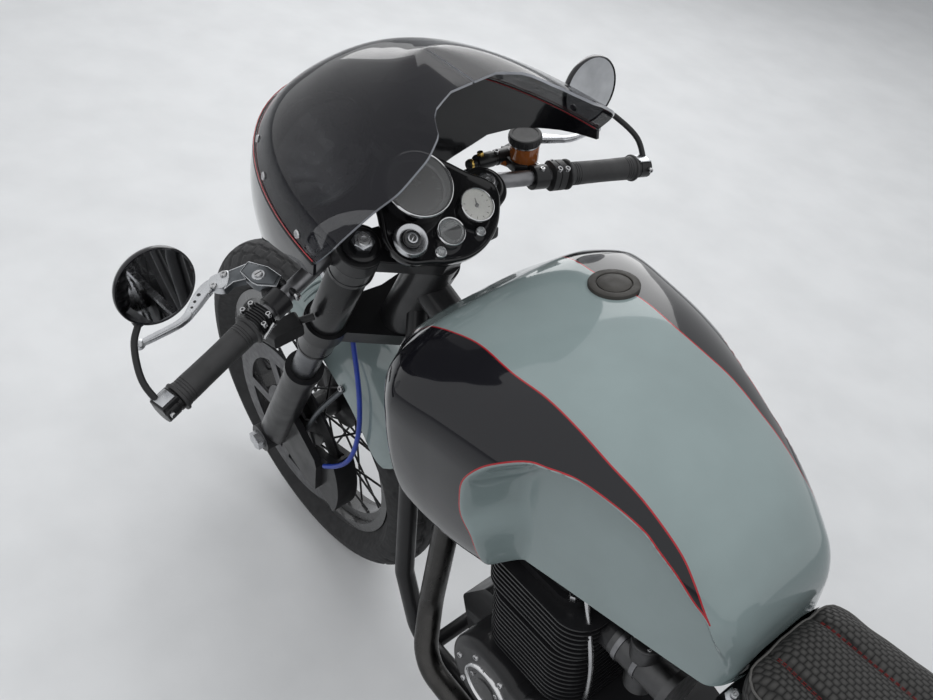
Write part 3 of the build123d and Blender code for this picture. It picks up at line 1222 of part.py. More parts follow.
with BuildPart() as exhausts:
    for side in (1, -1):
        header = [
            (PORT_FACE_X + SEAT_GAP, side * PORT_Y, PORT_Z),
            (262, side * PORT_Y, PORT_Z),
            (278, side * 96, 330),
            (240, side * 140, 250),
            (-120, side * 150, 240),
            (-200, side * 152, 241),
        ]
        bent_tube(header, [46, 60, 60, 40], PIPE_RADIUS)
        for start_x, end_x, near_radius, far_radius in SILENCER_SECTIONS:
            near_plane = Plane(origin=(start_x, side * 152, 241), z_dir=(-1, side * 0.03, 0.02))
            with BuildSketch(near_plane) as near_end:
                Circle(near_radius)
            with BuildSketch(near_plane.offset(start_x - end_x)) as far_end:
                Circle(far_radius)
            loft([near_end.sketch, far_end.sketch])
exhausts.part.label = "exhausts"


# Bodywork: tank, seat and tail
def tank_section(x, top, half_width, width_z, fullness, bottom_half, bottom_z):
    """Closed section of the tank across the bike at one station."""
    power = 2 / fullness
    half = []
    for step in range(9):
        angle = radians(step * 90 / 8)
        half.append((half_width * sin(angle) ** power, width_z + (top - width_z) * cos(angle) ** power))
    for step in range(1, 5):
        angle = radians(step * 90 / 4)
        y = bottom_half + (half_width - bottom_half) * cos(angle)
        half.append((y, width_z - (width_z - bottom_z) * sin(angle)))
    whole = [(-y, z) for y, z in reversed(half[1:])] + half
    with BuildSketch(Plane(origin=(x, 0, 0), x_dir=(0, 1, 0), z_dir=(1, 0, 0))) as section:
        with BuildLine():
            Spline(*whole, tangents=[(-1, 0), (-1, 0)])
            Line((bottom_half, bottom_z), (-bottom_half, bottom_z))
        make_face()
    return section.sketch


with BuildPart() as tank:
    loft([tank_section(*row) for row in TANK_SECTIONS])
    with BuildSketch(Plane.XY.offset(600)) as belly:
        closed_face(TANK_BELLY + [(x, -y) for x, y in reversed(TANK_BELLY)])
    extrude(belly.sketch, amount=TANK_FLOOR - 600, mode=Mode.SUBTRACT)
    with BuildSketch(Plane.XZ.offset(-TUNNEL_HALF_WIDTH)) as tunnel:
        closed_face([(400, 600), (400, 850), (300, TUNNEL_FRONT), (-240, TUNNEL_REAR), (-240, 600)])
    extrude(tunnel.sketch, amount=2 * TUNNEL_HALF_WIDTH, mode=Mode.SUBTRACT)
    for side in (1, -1):
        knee_plane = Plane(
            origin=(0, side * KNEE_Y, 0), x_dir=(-1, -side * KNEE_SLOPE, 0), z_dir=(-side * KNEE_SLOPE, 1, 0)
        )
        with BuildSketch(knee_plane) as knee:
            with BuildLine():
                for start, middle, end in KNEE_ARCS:
                    ThreePointArc(start, middle, end)
                Polyline(*KNEE_BELOW)
            make_face()
        extrude(knee.sketch, amount=side * KNEE_REACH, taper=-KNEE_FLARE, mode=Mode.SUBTRACT)
    cap_well = CAP_AT + CAP_AXIS * (CAP_HEIGHT + 40)
    bar_between(CAP_AT, cap_well, CAP_RADIUS + SEAT_GAP, mode=Mode.SUBTRACT)
tank.part.label = "tank"

with BuildPart() as fuel_cap:
    bar_between(CAP_AT + CAP_AXIS * SEAT_GAP, CAP_AT + CAP_AXIS * CAP_HEIGHT, CAP_RADIUS)
fuel_cap.part.label = "fuel_cap"


def seat_section(x, bottom_rise, top_rise, half_width, edge):
    """Seat section across the bike: flat base, upright sides and a crowned top."""
    bottom = SEAT_BASE + bottom_rise
    top = SEAT_BASE + top_rise
    with BuildSketch(Plane(origin=(x, 0, 0), x_dir=(0, 1, 0), z_dir=(1, 0, 0))) as section:
        with BuildLine():
            shoulder = top - edge
            left, right = (-half_width, shoulder), (half_width, shoulder)
            Polyline(left, (-half_width, bottom), (half_width, bottom), right)
            ThreePointArc(right, (0, top), left)
        make_face()
    return section.sketch


with BuildPart() as seat:
    loft([seat_section(*row) for row in SEAT_SECTIONS])
seat.part.label = "seat"

with BuildPart() as seat_cowl:
    loft([seat_section(*row) for row in COWL_SECTIONS])
    with BuildSketch(Plane.XY.offset(600)) as rail_room:
        with Locations((TAIL_LOOP_X - 4, 0)):
            Rectangle(90, 2 * SEAT_RAIL_HALF_WIDTH + 40)
    extrude(rail_room.sketch, amount=SEAT_BASE + 32 - 600, mode=Mode.SUBTRACT)
seat_cowl.part.label = "seat_cowl"

with BuildPart() as tail_unit:
    with BuildSketch(wheel_section(rear_axle_at)) as rear_fender_section:
        with BuildLine() as rear_fender_edge:
            crown = REAR_TYRE_RADIUS + 26
            ThreePointArc((crown - 22, 72), (crown, 0), (crown - 22, -72))
            ThreePointArc((crown - 25, 70), (crown - 3, 0), (crown - 25, -70))
            Line((crown - 22, 72), (crown - 25, 70))
            Line((crown - 22, -72), (crown - 25, -70))
        make_face()
    revolve(rear_fender_section.sketch, axis=Axis(rear_axle_at, (0, 1, 0)), revolution_arc=18)
    revolve(rear_fender_section.sketch, axis=Axis(rear_axle_at, (0, -1, 0)), revolution_arc=52)
    with BuildSketch(Plane.XY.offset(rear_axle_at.Z + REAR_TYRE_RADIUS + 20)) as tail_post:
        with Locations((TAIL_LOOP_X - SEAT_RAIL_RADIUS - SEAT_GAP - 30, 0)):
            RectangleRounded(60, 40, 8)
    extrude(tail_post.sketch, amount=SEAT_BASE - 2 - rear_axle_at.Z - REAR_TYRE_RADIUS - 20)
tail_unit.part.label = "tail_unit"

with BuildPart() as tail_lamp:
    bar_between(LAMP_TAIL_AT, (LAMP_TAIL_AT[0] - 34, 0, LAMP_TAIL_AT[2]), 40)
    for side in (1, -1):
        tail_x, tail_z = LAMP_TAIL_AT[0], LAMP_TAIL_AT[2]
        cross_bar(tail_x - 14, tail_z, side * 30, side * 94, 6)
        bar_between((tail_x - 1, side * 104, tail_z), (tail_x - 40, side * 104, tail_z), 20)
tail_lamp.part.label = "tail_lamp"

# Controls and stand
with BuildPart() as rearsets:
    peg_x, peg_y, peg_z = FOOTPEG
    plate_root_x = -SWINGARM_PIVOT[0] + 18
    for side in (1, -1):
        plate_y = side * (SWINGARM_HALF_WIDTH + 10)
        with BuildSketch(side_plane(plate_y)) as rearset_plate:
            closed_face([
                (plate_root_x, 440), (plate_root_x, 480), (20 - peg_x, peg_z + 16), (20 - peg_x, peg_z - 16),
                (-14 - peg_x, peg_z - 14),
            ])
        extrude(rearset_plate.sketch, amount=side * 8)
        cross_bar(peg_x, peg_z, plate_y + side * 7, side * peg_y, 11)
        cross_bar(peg_x, peg_z, side * peg_y, side * (peg_y + 6), 15)
        pedal_root = (peg_x + 4, plate_y + side * 14, peg_z - 4)
        pedal_knee = (peg_x + 120, plate_y + side * 20, peg_z - 10)
        pedal_tip = (peg_x + 150, side * (peg_y - 50), peg_z)
        cross_bar(pedal_root[0], pedal_root[2], plate_y + side * 7, pedal_root[1], 9)
        bent_tube([pedal_root, pedal_knee, pedal_tip], 16, 6)
        cross_bar(pedal_tip[0], peg_z, side * (peg_y - 52), side * (peg_y - 8), 8)
rearsets.part.label = "rearsets"

with BuildPart() as horn:
    horn_way = Vector(0.95, 0.0, 0.20).normalized()
    horn_at = Vector(*HORN_AT)
    bar_between(horn_at, horn_at + horn_way * 22, 40)
    bar_between(horn_at + horn_way * 22, horn_at + horn_way * 28, 44)
    bar_between(horn_at - horn_way * 20, horn_at, 22)
    stay_x = HORN_BAR_X - HORN_BAR_RADIUS - SEAT_GAP
    stay_knee = (HORN_AT[0] - 10, 0, HORN_BAR_Z)
    bent_tube([horn_at - horn_way * 10, stay_knee, (stay_x, 0, HORN_BAR_Z)], 12, 5)
horn.part.label = "horn"

with BuildPart() as side_stand:
    pivot = STAND_PIVOT
    knuckle_start = pivot + STAND_AXIS * SEAT_GAP
    knuckle_end = knuckle_start + STAND_AXIS * KNUCKLE_LENGTH
    bar_between(knuckle_start, knuckle_end, 15)
    leg_root = (knuckle_start + knuckle_end) * 0.5
    leg_way = (STAND_FOOT - leg_root).normalized()
    leg_drop = (leg_way - STAND_AXIS * leg_way.dot(STAND_AXIS)).normalized()
    leg_end = STAND_FOOT + Vector(0, 0, FOOT_PAD_THICKNESS)
    bent_tube([leg_root, leg_root + leg_drop * 36, leg_end], 20, STAND_RADIUS)
    bar_between(pivot - STAND_AXIS * 12, pivot + STAND_AXIS * 44, 8 + RUNNING_GAP, mode=Mode.SUBTRACT)
    with BuildSketch(Plane(origin=STAND_FOOT, x_dir=(1, 0, 0), z_dir=floor.z_dir)) as foot_pad:
        RectangleRounded(58, 44, 14)
    extrude(foot_pad.sketch, amount=FOOT_PAD_THICKNESS)
side_stand.part.label = "side_stand"

pieces = [
    front_tyre, front_rim, front_hub, front_disc,
    rear_tyre, rear_rim, rear_hub, rear_disc, rear_sprocket,
    top_clamp, lower_clamp, fork_tubes, fork_covers, fork_slider_left, fork_slider_right,
    front_axle, front_caliper, brake_hose, front_fender, clip_ons, grips, mirrors,
    clutch_lever, brake_lever, switch_blocks, instrument_panel, gauges,
    fairing, windscreen, headlamp, headlamp_lens, front_indicators,
    frame_main, rear_subframe, swingarm, pivot_spindles, shock_absorbers, rear_caliper, chain,
    crankcase, engine_covers, cylinder_block, cylinder_head, carburettors, exhausts,
    tank, fuel_cap, seat, seat_cowl, tail_unit, tail_lamp, rearsets, horn, side_stand,
]
for piece in pieces:
    parked = piece.part.moved(PARKED)
    parked.label = piece.part.label
    export_step(parked, f"parts/{parked.label}.step")
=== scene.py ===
import json
from math import cos, exp, pi, radians, sin, sqrt

import bpy
import numpy as np
from mathutils import Matrix, Vector
from mathutils.bvhtree import BVHTree


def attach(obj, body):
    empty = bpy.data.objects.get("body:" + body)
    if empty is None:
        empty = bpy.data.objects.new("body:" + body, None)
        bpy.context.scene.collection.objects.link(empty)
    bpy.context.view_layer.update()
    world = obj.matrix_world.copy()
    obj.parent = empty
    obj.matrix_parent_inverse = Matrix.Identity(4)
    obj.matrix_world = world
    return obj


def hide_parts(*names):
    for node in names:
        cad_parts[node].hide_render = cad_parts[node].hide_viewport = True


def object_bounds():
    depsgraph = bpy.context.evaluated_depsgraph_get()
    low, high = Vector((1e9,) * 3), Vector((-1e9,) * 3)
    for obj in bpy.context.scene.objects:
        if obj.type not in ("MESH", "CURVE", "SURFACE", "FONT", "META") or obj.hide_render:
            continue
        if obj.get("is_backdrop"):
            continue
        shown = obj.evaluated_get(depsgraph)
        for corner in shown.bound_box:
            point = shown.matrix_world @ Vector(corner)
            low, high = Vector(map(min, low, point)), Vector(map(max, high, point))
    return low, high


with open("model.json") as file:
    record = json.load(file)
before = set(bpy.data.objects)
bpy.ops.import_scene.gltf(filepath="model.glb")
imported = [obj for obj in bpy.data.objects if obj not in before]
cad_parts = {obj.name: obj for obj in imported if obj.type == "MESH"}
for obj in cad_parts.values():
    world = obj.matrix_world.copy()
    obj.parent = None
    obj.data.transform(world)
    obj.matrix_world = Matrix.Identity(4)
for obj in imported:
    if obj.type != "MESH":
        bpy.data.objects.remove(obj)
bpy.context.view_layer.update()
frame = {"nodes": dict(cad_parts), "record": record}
nodes = frame["nodes"]

# Everything below is laid out upright in millimetres, as the CAD source is, and parked on the side stand.
# X is forward, Y to the rider's left and Z up from the ground line.
LEAN = radians(10.5)
TYRE_CROWN = 50.0
PARK = (
    Matrix.Translation((0, 0, TYRE_CROWN * (1 - cos(LEAN)) / 1000))
    @ Matrix.Rotation(-LEAN, 4, "X")
    @ Matrix.Scale(0.001, 4)
)
RAKE = radians(26.5)
FORK_SPAN = 97.0
FORK_OFFSET = 45.0
TYRE_RADIUS = 318.0
FRONT_AXLE = Vector((725.0, 0.0, TYRE_RADIUS))
REAR_AXLE = Vector((-725.0, 0.0, 318.26))
STEER_FORWARD = Vector((cos(RAKE), 0, sin(RAKE)))
STEER_UP = Vector((-sin(RAKE), 0, cos(RAKE)))
STEER_FOOT = FRONT_AXLE - STEER_FORWARD * FORK_OFFSET


def steer(x, y, s):
    """Point x ahead of the steering axis, y to the left and s along it."""
    return STEER_FOOT + STEER_FORWARD * x + Vector((0, y, 0)) + STEER_UP * s


def fork_foot(side):
    """Foot of one fork leg's axis."""
    return steer(FORK_OFFSET, side * FORK_SPAN, 0)


def flip(point, side):
    """The point itself for side 1, and its mirror image on the right for side -1."""
    return Vector((point[0], side * point[1], point[2]))


def pchip(table, column, at):
    """Smooth value of one column of a table at a station, with no overshoot between rows."""
    rows = sorted(table)
    xs = [row[0] for row in rows]
    ys = [row[column] for row in rows]
    at = min(max(at, xs[0]), xs[-1])
    slopes = [(ys[i + 1] - ys[i]) / (xs[i + 1] - xs[i]) for i in range(len(xs) - 1)]
    grads = [slopes[0]]
    for before, after in zip(slopes, slopes[1:]):
        grads.append(0.0 if before * after <= 0 else 2 * before * after / (before + after))
    grads.append(slopes[-1])
    i = max(0, min(len(xs) - 2, sum(1 for x in xs if x <= at) - 1))
    step = xs[i + 1] - xs[i]
    t = (at - xs[i]) / step
    return (
        ys[i] * (1 + 2 * t) * (1 - t) ** 2
        + grads[i] * step * t * (1 - t) ** 2
        + ys[i + 1] * t * t * (3 - 2 * t)
        + grads[i + 1] * step * t * t * (t - 1)
    )


def curve_through(points, per_run=8, closed=False):
    """Smooth line through a few points (Catmull-Rom)."""
    pts = [Vector(p) for p in points]
    count = len(pts)
    out = []
    runs = count if closed else count - 1
    for i in range(runs):
        p1, p2 = pts[i], pts[(i + 1) % count]
        p0 = pts[i - 1] if (i > 0 or closed) else p1 * 2 - p2
        p3 = pts[(i + 2) % count] if (i + 2 < count or closed) else p2 * 2 - p1
        for k in range(per_run):
            t = k / per_run
            square = (p0 * 2 - p1 * 5 + p2 * 4 - p3) * t * t
            cube = (p1 * 3 - p0 - p2 * 3 + p3) * t ** 3
            out.append((p1 * 2 + (p2 - p0) * t + square + cube) * 0.5)
    if not closed:
        out.append(pts[-1])
    return out


def across(axis):
    """Two unit vectors square to an axis and to each other."""
    axis = Vector(axis).normalized()
    hint = Vector((0, 0, 1)) if abs(axis.z) < 0.9 else Vector((1, 0, 0))
    u = hint.cross(axis).normalized()
    return axis, u, axis.cross(u)


def rounded_square(steps, power):
    """Points round a square with rounded sides, as shares of its half width and half height."""
    shape = []
    for step in range(steps):
        c, s = cos(2 * pi * step / steps), sin(2 * pi * step / steps)
        shape.append((abs(c) ** power * (1 if c >= 0 else -1), abs(s) ** power * (1 if s >= 0 else -1)))
    return shape


def placed(name, data):
    """A new object in the scene."""
    obj = bpy.data.objects.new(name, data)
    bpy.context.scene.collection.objects.link(obj)
    return obj


def applied(obj):
    """The object's mesh with its modifiers worked in."""
    graph = bpy.context.evaluated_depsgraph_get()
    baked = bpy.data.meshes.new_from_object(obj.evaluated_get(graph))
    obj.modifiers.clear()
    obj.data = baked
    return baked


class Build:
    """Mesh of one piece, gathered from simple turned, swept and lofted forms."""

    def __init__(self, name):
        self.name = name
        self.verts = []
        self.faces = []
        self.face_mats = []
        self.mats = []

    def add(self, verts, faces, mat):
        if mat not in self.mats:
            self.mats.append(mat)
        base = len(self.verts)
        self.verts += [tuple(v) for v in verts]
        self.faces += [tuple(base + i for i in face) for face in faces]
        self.face_mats += [self.mats.index(mat)] * len(faces)

    def grid(self, rows, mat, around=True, caps=False, wrap=False):
        """Skin over equal rows of points."""
        n = len(rows[0])
        verts = [p for row in rows for p in row]
        faces = []
        last = len(rows) if wrap else len(rows) - 1
        for r in range(last):
            for c in range(n if around else n - 1):
                a, b = r * n + c, r * n + (c + 1) % n
                up = ((r + 1) % len(rows)) * n
                faces.append((a, b, up + (c + 1) % n, up + c))
        if caps:
            faces.append(tuple(reversed(range(n))))
            faces.append(tuple((len(rows) - 1) * n + i for i in range(n)))
        self.add(verts, faces, mat)

    def turned(self, origin, axis, profile, mat, segments=36):
        """Turned form: radius and height pairs along an axis, with one material or one for each step."""
        origin = Vector(origin)
        axis, u, v = across(axis)
        rows = []
        for radius, height in profile:
            radius = max(radius, 0.01)
            rows.append([
                origin + axis * height + (u * cos(2 * pi * k / segments) + v * sin(2 * pi * k / segments)) * radius
                for k in range(segments)
            ])
        if isinstance(mat, str):
            self.grid(rows, mat, caps=True)
            return
        self.grid(rows, mat[0], caps=True)
        for name in mat:
            if name not in self.mats:
                self.mats.append(name)
        first = len(self.face_mats) - 2 - (len(rows) - 1) * segments
        for step in range(len(rows) - 1):
            of_step = self.mats.index(mat[min(step, len(mat) - 1)])
            for k in range(segments):
                self.face_mats[first + step * segments + k] = of_step
        self.face_mats[-1] = self.mats.index(mat[-1])

    def tube(self, points, radius, mat, segments=12, flat=1.0):
        """Round or flattened bar along a line, with slightly domed ends."""
        pts = [Vector(p) for p in points]
        radii = radius if isinstance(radius, (list, tuple)) else [radius] * len(pts)
        if len(radii) != len(pts):
            radii = [radii[0] + (radii[-1] - radii[0]) * i / (len(pts) - 1) for i in range(len(pts))]
        rows = []
        side = None
        for i, p in enumerate(pts):
            way = (pts[min(i + 1, len(pts) - 1)] - pts[max(i - 1, 0)]).normalized()
            if side is None:
                side = way.cross(Vector((0, 0, 1)))
                if side.length < 0.1:
                    side = way.cross(Vector((1, 0, 0)))
            side = (side - way * side.dot(way)).normalized()
            over = side.cross(way)
            ring = [
                p + side * cos(2 * pi * k / segments) * radii[i] + over * sin(2 * pi * k / segments) * radii[i] * flat
                for k in range(segments)
            ]
            if i == 0:
                rows.append([p - way * radii[i] * 0.25 + (q - p) * 0.7 for q in ring])
            rows.append(ring)
            if i == len(pts) - 1:
                rows.append([p + way * radii[i] * 0.25 + (q - p) * 0.7 for q in ring])
        self.grid(rows, mat, caps=True)

    def plate(self, origin, ux, uy, outline, depth, mat, edge=1.0, profile=None):
        """Flat plate with softened edges, from its outline upwards along ux x uy."""
        origin, ux, uy = Vector(origin), Vector(ux).normalized(), Vector(uy).normalized()
        n = ux.cross(uy)
        pts = [Vector((p[0], p[1])) for p in outline]
        area = sum(a.x * b.y - b.x * a.y for a, b in zip(pts, pts[1:] + pts[:1]))
        if area < 0:
            pts.reverse()
        inward = []
        for i, p in enumerate(pts):
            a = (p - pts[i - 1]).normalized()
            b = (pts[(i + 1) % len(pts)] - p).normalized()
            normal = Vector((-(a.y + b.y), a.x + b.x))
            length = max(normal.length, 0.3)
            inward.append(normal / length / max(0.5, length / 2))
        rows = []
        soft = edge * 0.3
        profile = profile or (
            (edge, 0), (soft, soft), (0, edge), (0, depth - edge), (soft, depth - soft), (edge, depth),
        )
        for inset, height in profile:
            row = []
            for p, w in zip(pts, inward):
                q = p + w * inset
                row.append(origin + ux * q.x + uy * q.y + n * height)
            rows.append(row)
        self.grid(rows, mat, caps=True)

    def bolt(self, origin, axis, radius, height, mat="steel_bright", sides=24):
        """Socket head screw, or a hexagon head when it has six sides."""
        if sides == 6:
            profile = [(radius * 0.8, 0), (radius, 0), (radius, height * 0.8), (radius * 0.86, height), (0.1, height)]
        else:
            profile = [
                (radius * 0.9, 0), (radius, height * 0.1), (radius, height * 0.85), (radius * 0.88, height),
                (radius * 0.5, height), (radius * 0.46, height * 0.45), (0.1, height * 0.4),
            ]
        self.turned(origin, axis, profile, mat, sides)

    def done(self, body, replaces=(), crease=35, fields=None, modifiers=()):
        mesh = bpy.data.meshes.new(self.name)
        mesh.from_pydata([PARK @ Vector(v) for v in self.verts], [], self.faces)
        for mat in self.mats:
            mesh.materials.append(mats[mat])
        mesh.polygons.foreach_set("material_index", self.face_mats)
        for key, values in (fields or {}).items():
            layer = mesh.attributes.new(key, "FLOAT", "POINT")
            layer.data.foreach_set("value", values)
        obj = placed(self.name, mesh)
        for kind, settings in modifiers:
            made = obj.modifiers.new(kind.lower(), kind)
            for key, value in settings.items():
                setattr(made, key, value)
        if modifiers:
            mesh = applied(obj)
        mesh.shade_smooth()
        mesh.set_sharp_from_angle(angle=radians(crease))
        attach(obj, body)
        if replaces:
            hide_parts(*replaces)



# ---------------------------------------------------------------- materials
class Shade:
    """A node material built up around one Principled shader."""

    def __init__(self, name, colour, rough, metal=0.0, coat=0.0, spec=0.5, **sockets):
        self.mat = bpy.data.materials.new(name)
        self.mat.use_nodes = True
        self.tree = self.mat.node_tree
        self.links = self.tree.links
        self.bsdf = self.tree.nodes["Principled BSDF"]
        self.put("Base Color", (*colour, 1))
        self.put("Roughness", rough)
        self.put("Metallic", metal)
        self.put("Coat Weight", coat)
        self.put("Coat Roughness", 0.04)
        self.put("Specular IOR Level", spec)
        for key, value in sockets.items():
            self.put(key.replace("_", " "), value)
        self.coords = self.node("ShaderNodeTexCoord").outputs["Object"]
        self.height = None

    def put(self, socket, value):
        self.bsdf.inputs[socket].default_value = value

    def node(self, kind, **settings):
        made = self.tree.nodes.new(kind)
        for key, value in settings.items():
            setattr(made, key, value)
        return made

    def math(self, operation, a, b=0.0):
        made = self.node("ShaderNodeMath", operation=operation)
        for socket, value in zip(made.inputs, (a, b)):
            if isinstance(value, (int, float)):
                socket.default_value = value
            else:
                self.links.new(value, socket)
        return made.outputs[0]

    def noise(self, scale, detail):
        made = self.node("ShaderNodeTexNoise")
        made.inputs["Scale"].default_value = scale
        made.inputs["Detail"].default_value = detail
        self.links.new(self.coords, made.inputs["Vector"])
        return made.outputs["Fac"]

    def remap(self, value, low, high, to_low, to_high):
        made = self.node("ShaderNodeMapRange")
        self.links.new(value, made.inputs["Value"])
        for key, number in zip(("From Min", "From Max", "To Min", "To Max"), (low, high, to_low, to_high)):
            made.inputs[key].default_value = number
        return made.outputs["Result"]

    def mix(self, factor, a, b):
        made = self.node("ShaderNodeMix", data_type="RGBA")
        self.links.new(factor, made.inputs["Factor"])
        for socket, value in ((made.inputs[6], a), (made.inputs[7], b)):
            if isinstance(value, tuple):
                socket.default_value = (*value, 1)
            else:
                self.links.new(value, socket)
        return made.outputs[2]

    def attribute(self, name):
        made = self.node("ShaderNodeAttribute", attribute_name=name)
        return made.outputs["Fac"]

    def colour(self, output):
        self.links.new(output, self.bsdf.inputs["Base Color"])

    def rough(self, output):
        self.links.new(output, self.bsdf.inputs["Roughness"])

    def bump(self, height, distance, strength=1.0):
        made = self.node("ShaderNodeBump")
        made.inputs["Distance"].default_value = distance
        made.inputs["Strength"].default_value = strength
        self.links.new(height, made.inputs["Height"])
        if self.height is not None:
            self.links.new(self.height, made.inputs["Normal"])
        self.height = made.outputs["Normal"]
        self.links.new(self.height, self.bsdf.inputs["Normal"])

    def mottled(self, dark, light, scale, rough_low, rough_high):
        """Slow colour drift and uneven sheen, as on used paint, metal or rubber."""
        drift = self.noise(scale, 4)
        self.colour(self.mix(self.remap(drift, 0.35, 0.65, 0, 1), dark, light))
        self.rough(self.remap(self.noise(scale * 2.7, 5), 0.3, 0.7, rough_low, rough_high))


def metal(name, base, rough, grain_depth=0.00002):
    shade = Shade(name, base, rough, metal=1.0)
    dark = tuple(c * 0.8 for c in base)
    shade.mottled(dark, base, 30, rough * 0.8, rough * 1.3)
    shade.bump(shade.noise(900, 2), grain_depth, 0.5)
    return shade.mat


def painted(name, base, rough, coat=0.0, spec=0.4, orange_peel=0.00002):
    shade = Shade(name, base, rough, coat=coat, spec=spec)
    dark = tuple(c * 0.85 for c in base)
    shade.mottled(dark, base, 12, rough * 0.85, rough * 1.2)
    shade.bump(shade.noise(420, 2), orange_peel, 0.4)
    return shade.mat


def rubbery(name, base, rough):
    shade = Shade(name, base, rough, spec=0.35)
    dark = tuple(c * 0.75 for c in base)
    shade.mottled(dark, base, 40, rough * 0.9, rough * 1.15)
    shade.bump(shade.noise(1500, 3), 0.00006, 0.6)
    return shade.mat


BLUE_GREY = (0.2, 0.25, 0.252)
GLOSS_BLACK = (0.006, 0.006, 0.008)
STRIPE_RED = (0.3, 0.008, 0.014)
SMOOTH_PEEL = 0.000004
METALS = {
    "steel_bright": ((0.56, 0.56, 0.57), 0.24),
    "disc_steel": ((0.09, 0.09, 0.095), 0.36),
    "fork_grey": ((0.15, 0.155, 0.165), 0.32),
    "silver_alloy": ((0.6, 0.61, 0.63), 0.27),
    "perch_grey": ((0.14, 0.15, 0.16), 0.42),
    "chrome": ((0.78, 0.78, 0.79), 0.07, 0.000002),
    "exhaust_steel": ((0.07, 0.068, 0.066), 0.3),
    "carb_dark": ((0.1, 0.1, 0.102), 0.4),
    "bar_grey": ((0.24, 0.24, 0.25), 0.38),
    "brass_gold": ((0.62, 0.42, 0.12), 0.22),
    "mirror_glass": ((0.8, 0.81, 0.83), 0.015, 0.0000005),
}
# Colour, roughness, then coat, specular level and the height of the orange peel where they differ
PAINTS = {
    "rim_metal": ((0.02, 0.02, 0.021), 0.28, 0.5),
    "black_metal": ((0.01, 0.01, 0.011), 0.38, 0.2, 0.25),
    "black_gloss": (GLOSS_BLACK, 0.12, 0.7, 0.1, SMOOTH_PEEL),
    "tank_paint": (BLUE_GREY, 0.16, 1.0, 0.4, SMOOTH_PEEL),
    "dial_face": ((0.012, 0.012, 0.013), 0.3, 0.6),
    "dial_grey": ((0.10, 0.105, 0.11), 0.35, 0.3),
    "dial_pale": ((0.62, 0.62, 0.58), 0.4, 0.5),
    "panel_black": ((0.006, 0.006, 0.007), 0.14, 0.7, 0.1),
    "lens_red": ((0.35, 0.01, 0.01), 0.1, 1.0),
    "stripe_red": (STRIPE_RED, 0.2, 1.0),
    "fluid_amber": ((0.3, 0.09, 0.02), 0.12, 0.8),
    "black_satin": ((0.008, 0.008, 0.009), 0.3, 0.3, 0.25),
    # screen_edge: pale grey on the screen's cut edge, a painted highlight of the edge catching the light
    "screen_edge": ((0.3, 0.31, 0.34), 0.12, 1.0),
}
RUBBERS = {
    "tyre": ((0.024, 0.024, 0.025), 0.72),
    "grip_rubber": ((0.03, 0.03, 0.031), 0.5),
    "hose_blue": ((0.012, 0.04, 0.3), 0.35),
    "seat_leather": ((0.02, 0.02, 0.021), 0.55),
    "thread_red": ((0.14, 0.012, 0.012), 0.75),
    "piping": ((0.075, 0.073, 0.07), 0.45),
    "cap_plastic": ((0.035, 0.033, 0.03), 0.6),
    "black_plastic": ((0.02, 0.02, 0.021), 0.45),
}
mats = {
    name: maker(name, *values)
    for maker, table in ((metal, METALS), (painted, PAINTS), (rubbery, RUBBERS))
    for name, values in table.items()
}
mats["screen_tint"] = Shade("screen_tint", (0.006, 0.006, 0.009), 0.04, spec=0.3, IOR=1.49, Alpha=0.72).mat
mats["lens_clear"] = Shade("lens_clear", (0.85, 0.87, 0.88), 0.04, IOR=1.49, Transmission_Weight=0.9).mat
mats["dial_glass"] = Shade("dial_glass", (0.9, 0.9, 0.9), 0.02, IOR=1.45, Alpha=0.12).mat

# The tank's paint: blue-grey along the top and in the knee recess, black between them, red pinstripes
PINSTRIPE = 0.95
paint = Shade("tank_two_tone", BLUE_GREY, 0.14, coat=0.7, spec=0.1)
stripe_at = paint.attribute("stripe")
knee_at = paint.attribute("knee")
inside_either = paint.math("GREATER_THAN", paint.math("MAXIMUM", stripe_at, knee_at), 0.0)
near_stripe = paint.math("LESS_THAN", paint.math("ABSOLUTE", stripe_at), PINSTRIPE)
near_knee = paint.math("LESS_THAN", paint.math("ABSOLUTE", knee_at), PINSTRIPE)
stripe_line = paint.math("MULTIPLY", near_stripe, paint.math("LESS_THAN", knee_at, PINSTRIPE))
knee_line = paint.math("MULTIPLY", near_knee, paint.math("LESS_THAN", stripe_at, PINSTRIPE))
on_line = paint.math("MAXIMUM", stripe_line, knee_line)
drift = paint.remap(paint.noise(9, 4), 0.35, 0.65, 0, 1)
blue = paint.mix(drift, tuple(c * 0.9 for c in BLUE_GREY), BLUE_GREY)
two_tone = paint.mix(inside_either, GLOSS_BLACK, blue)
paint.colour(paint.mix(on_line, two_tone, STRIPE_RED))
paint.rough(paint.remap(paint.noise(26, 5), 0.3, 0.7, 0.1, 0.2))
paint.bump(paint.noise(420, 2), SMOOTH_PEEL, 0.4)
mats["tank_two_tone"] = paint.mat

# Basket weave of small nodules, set out in the seat's own upright frame
weave = Shade("seat_weave", (0.02, 0.02, 0.021), 0.5, spec=0.3)
upright = weave.node("ShaderNodeMapping")
upright.inputs["Rotation"].default_value = (LEAN, 0, 0)
weave.links.new(weave.coords, upright.inputs["Vector"])
split = weave.node("ShaderNodeSeparateXYZ")
weave.links.new(upright.outputs[0], split.inputs[0])
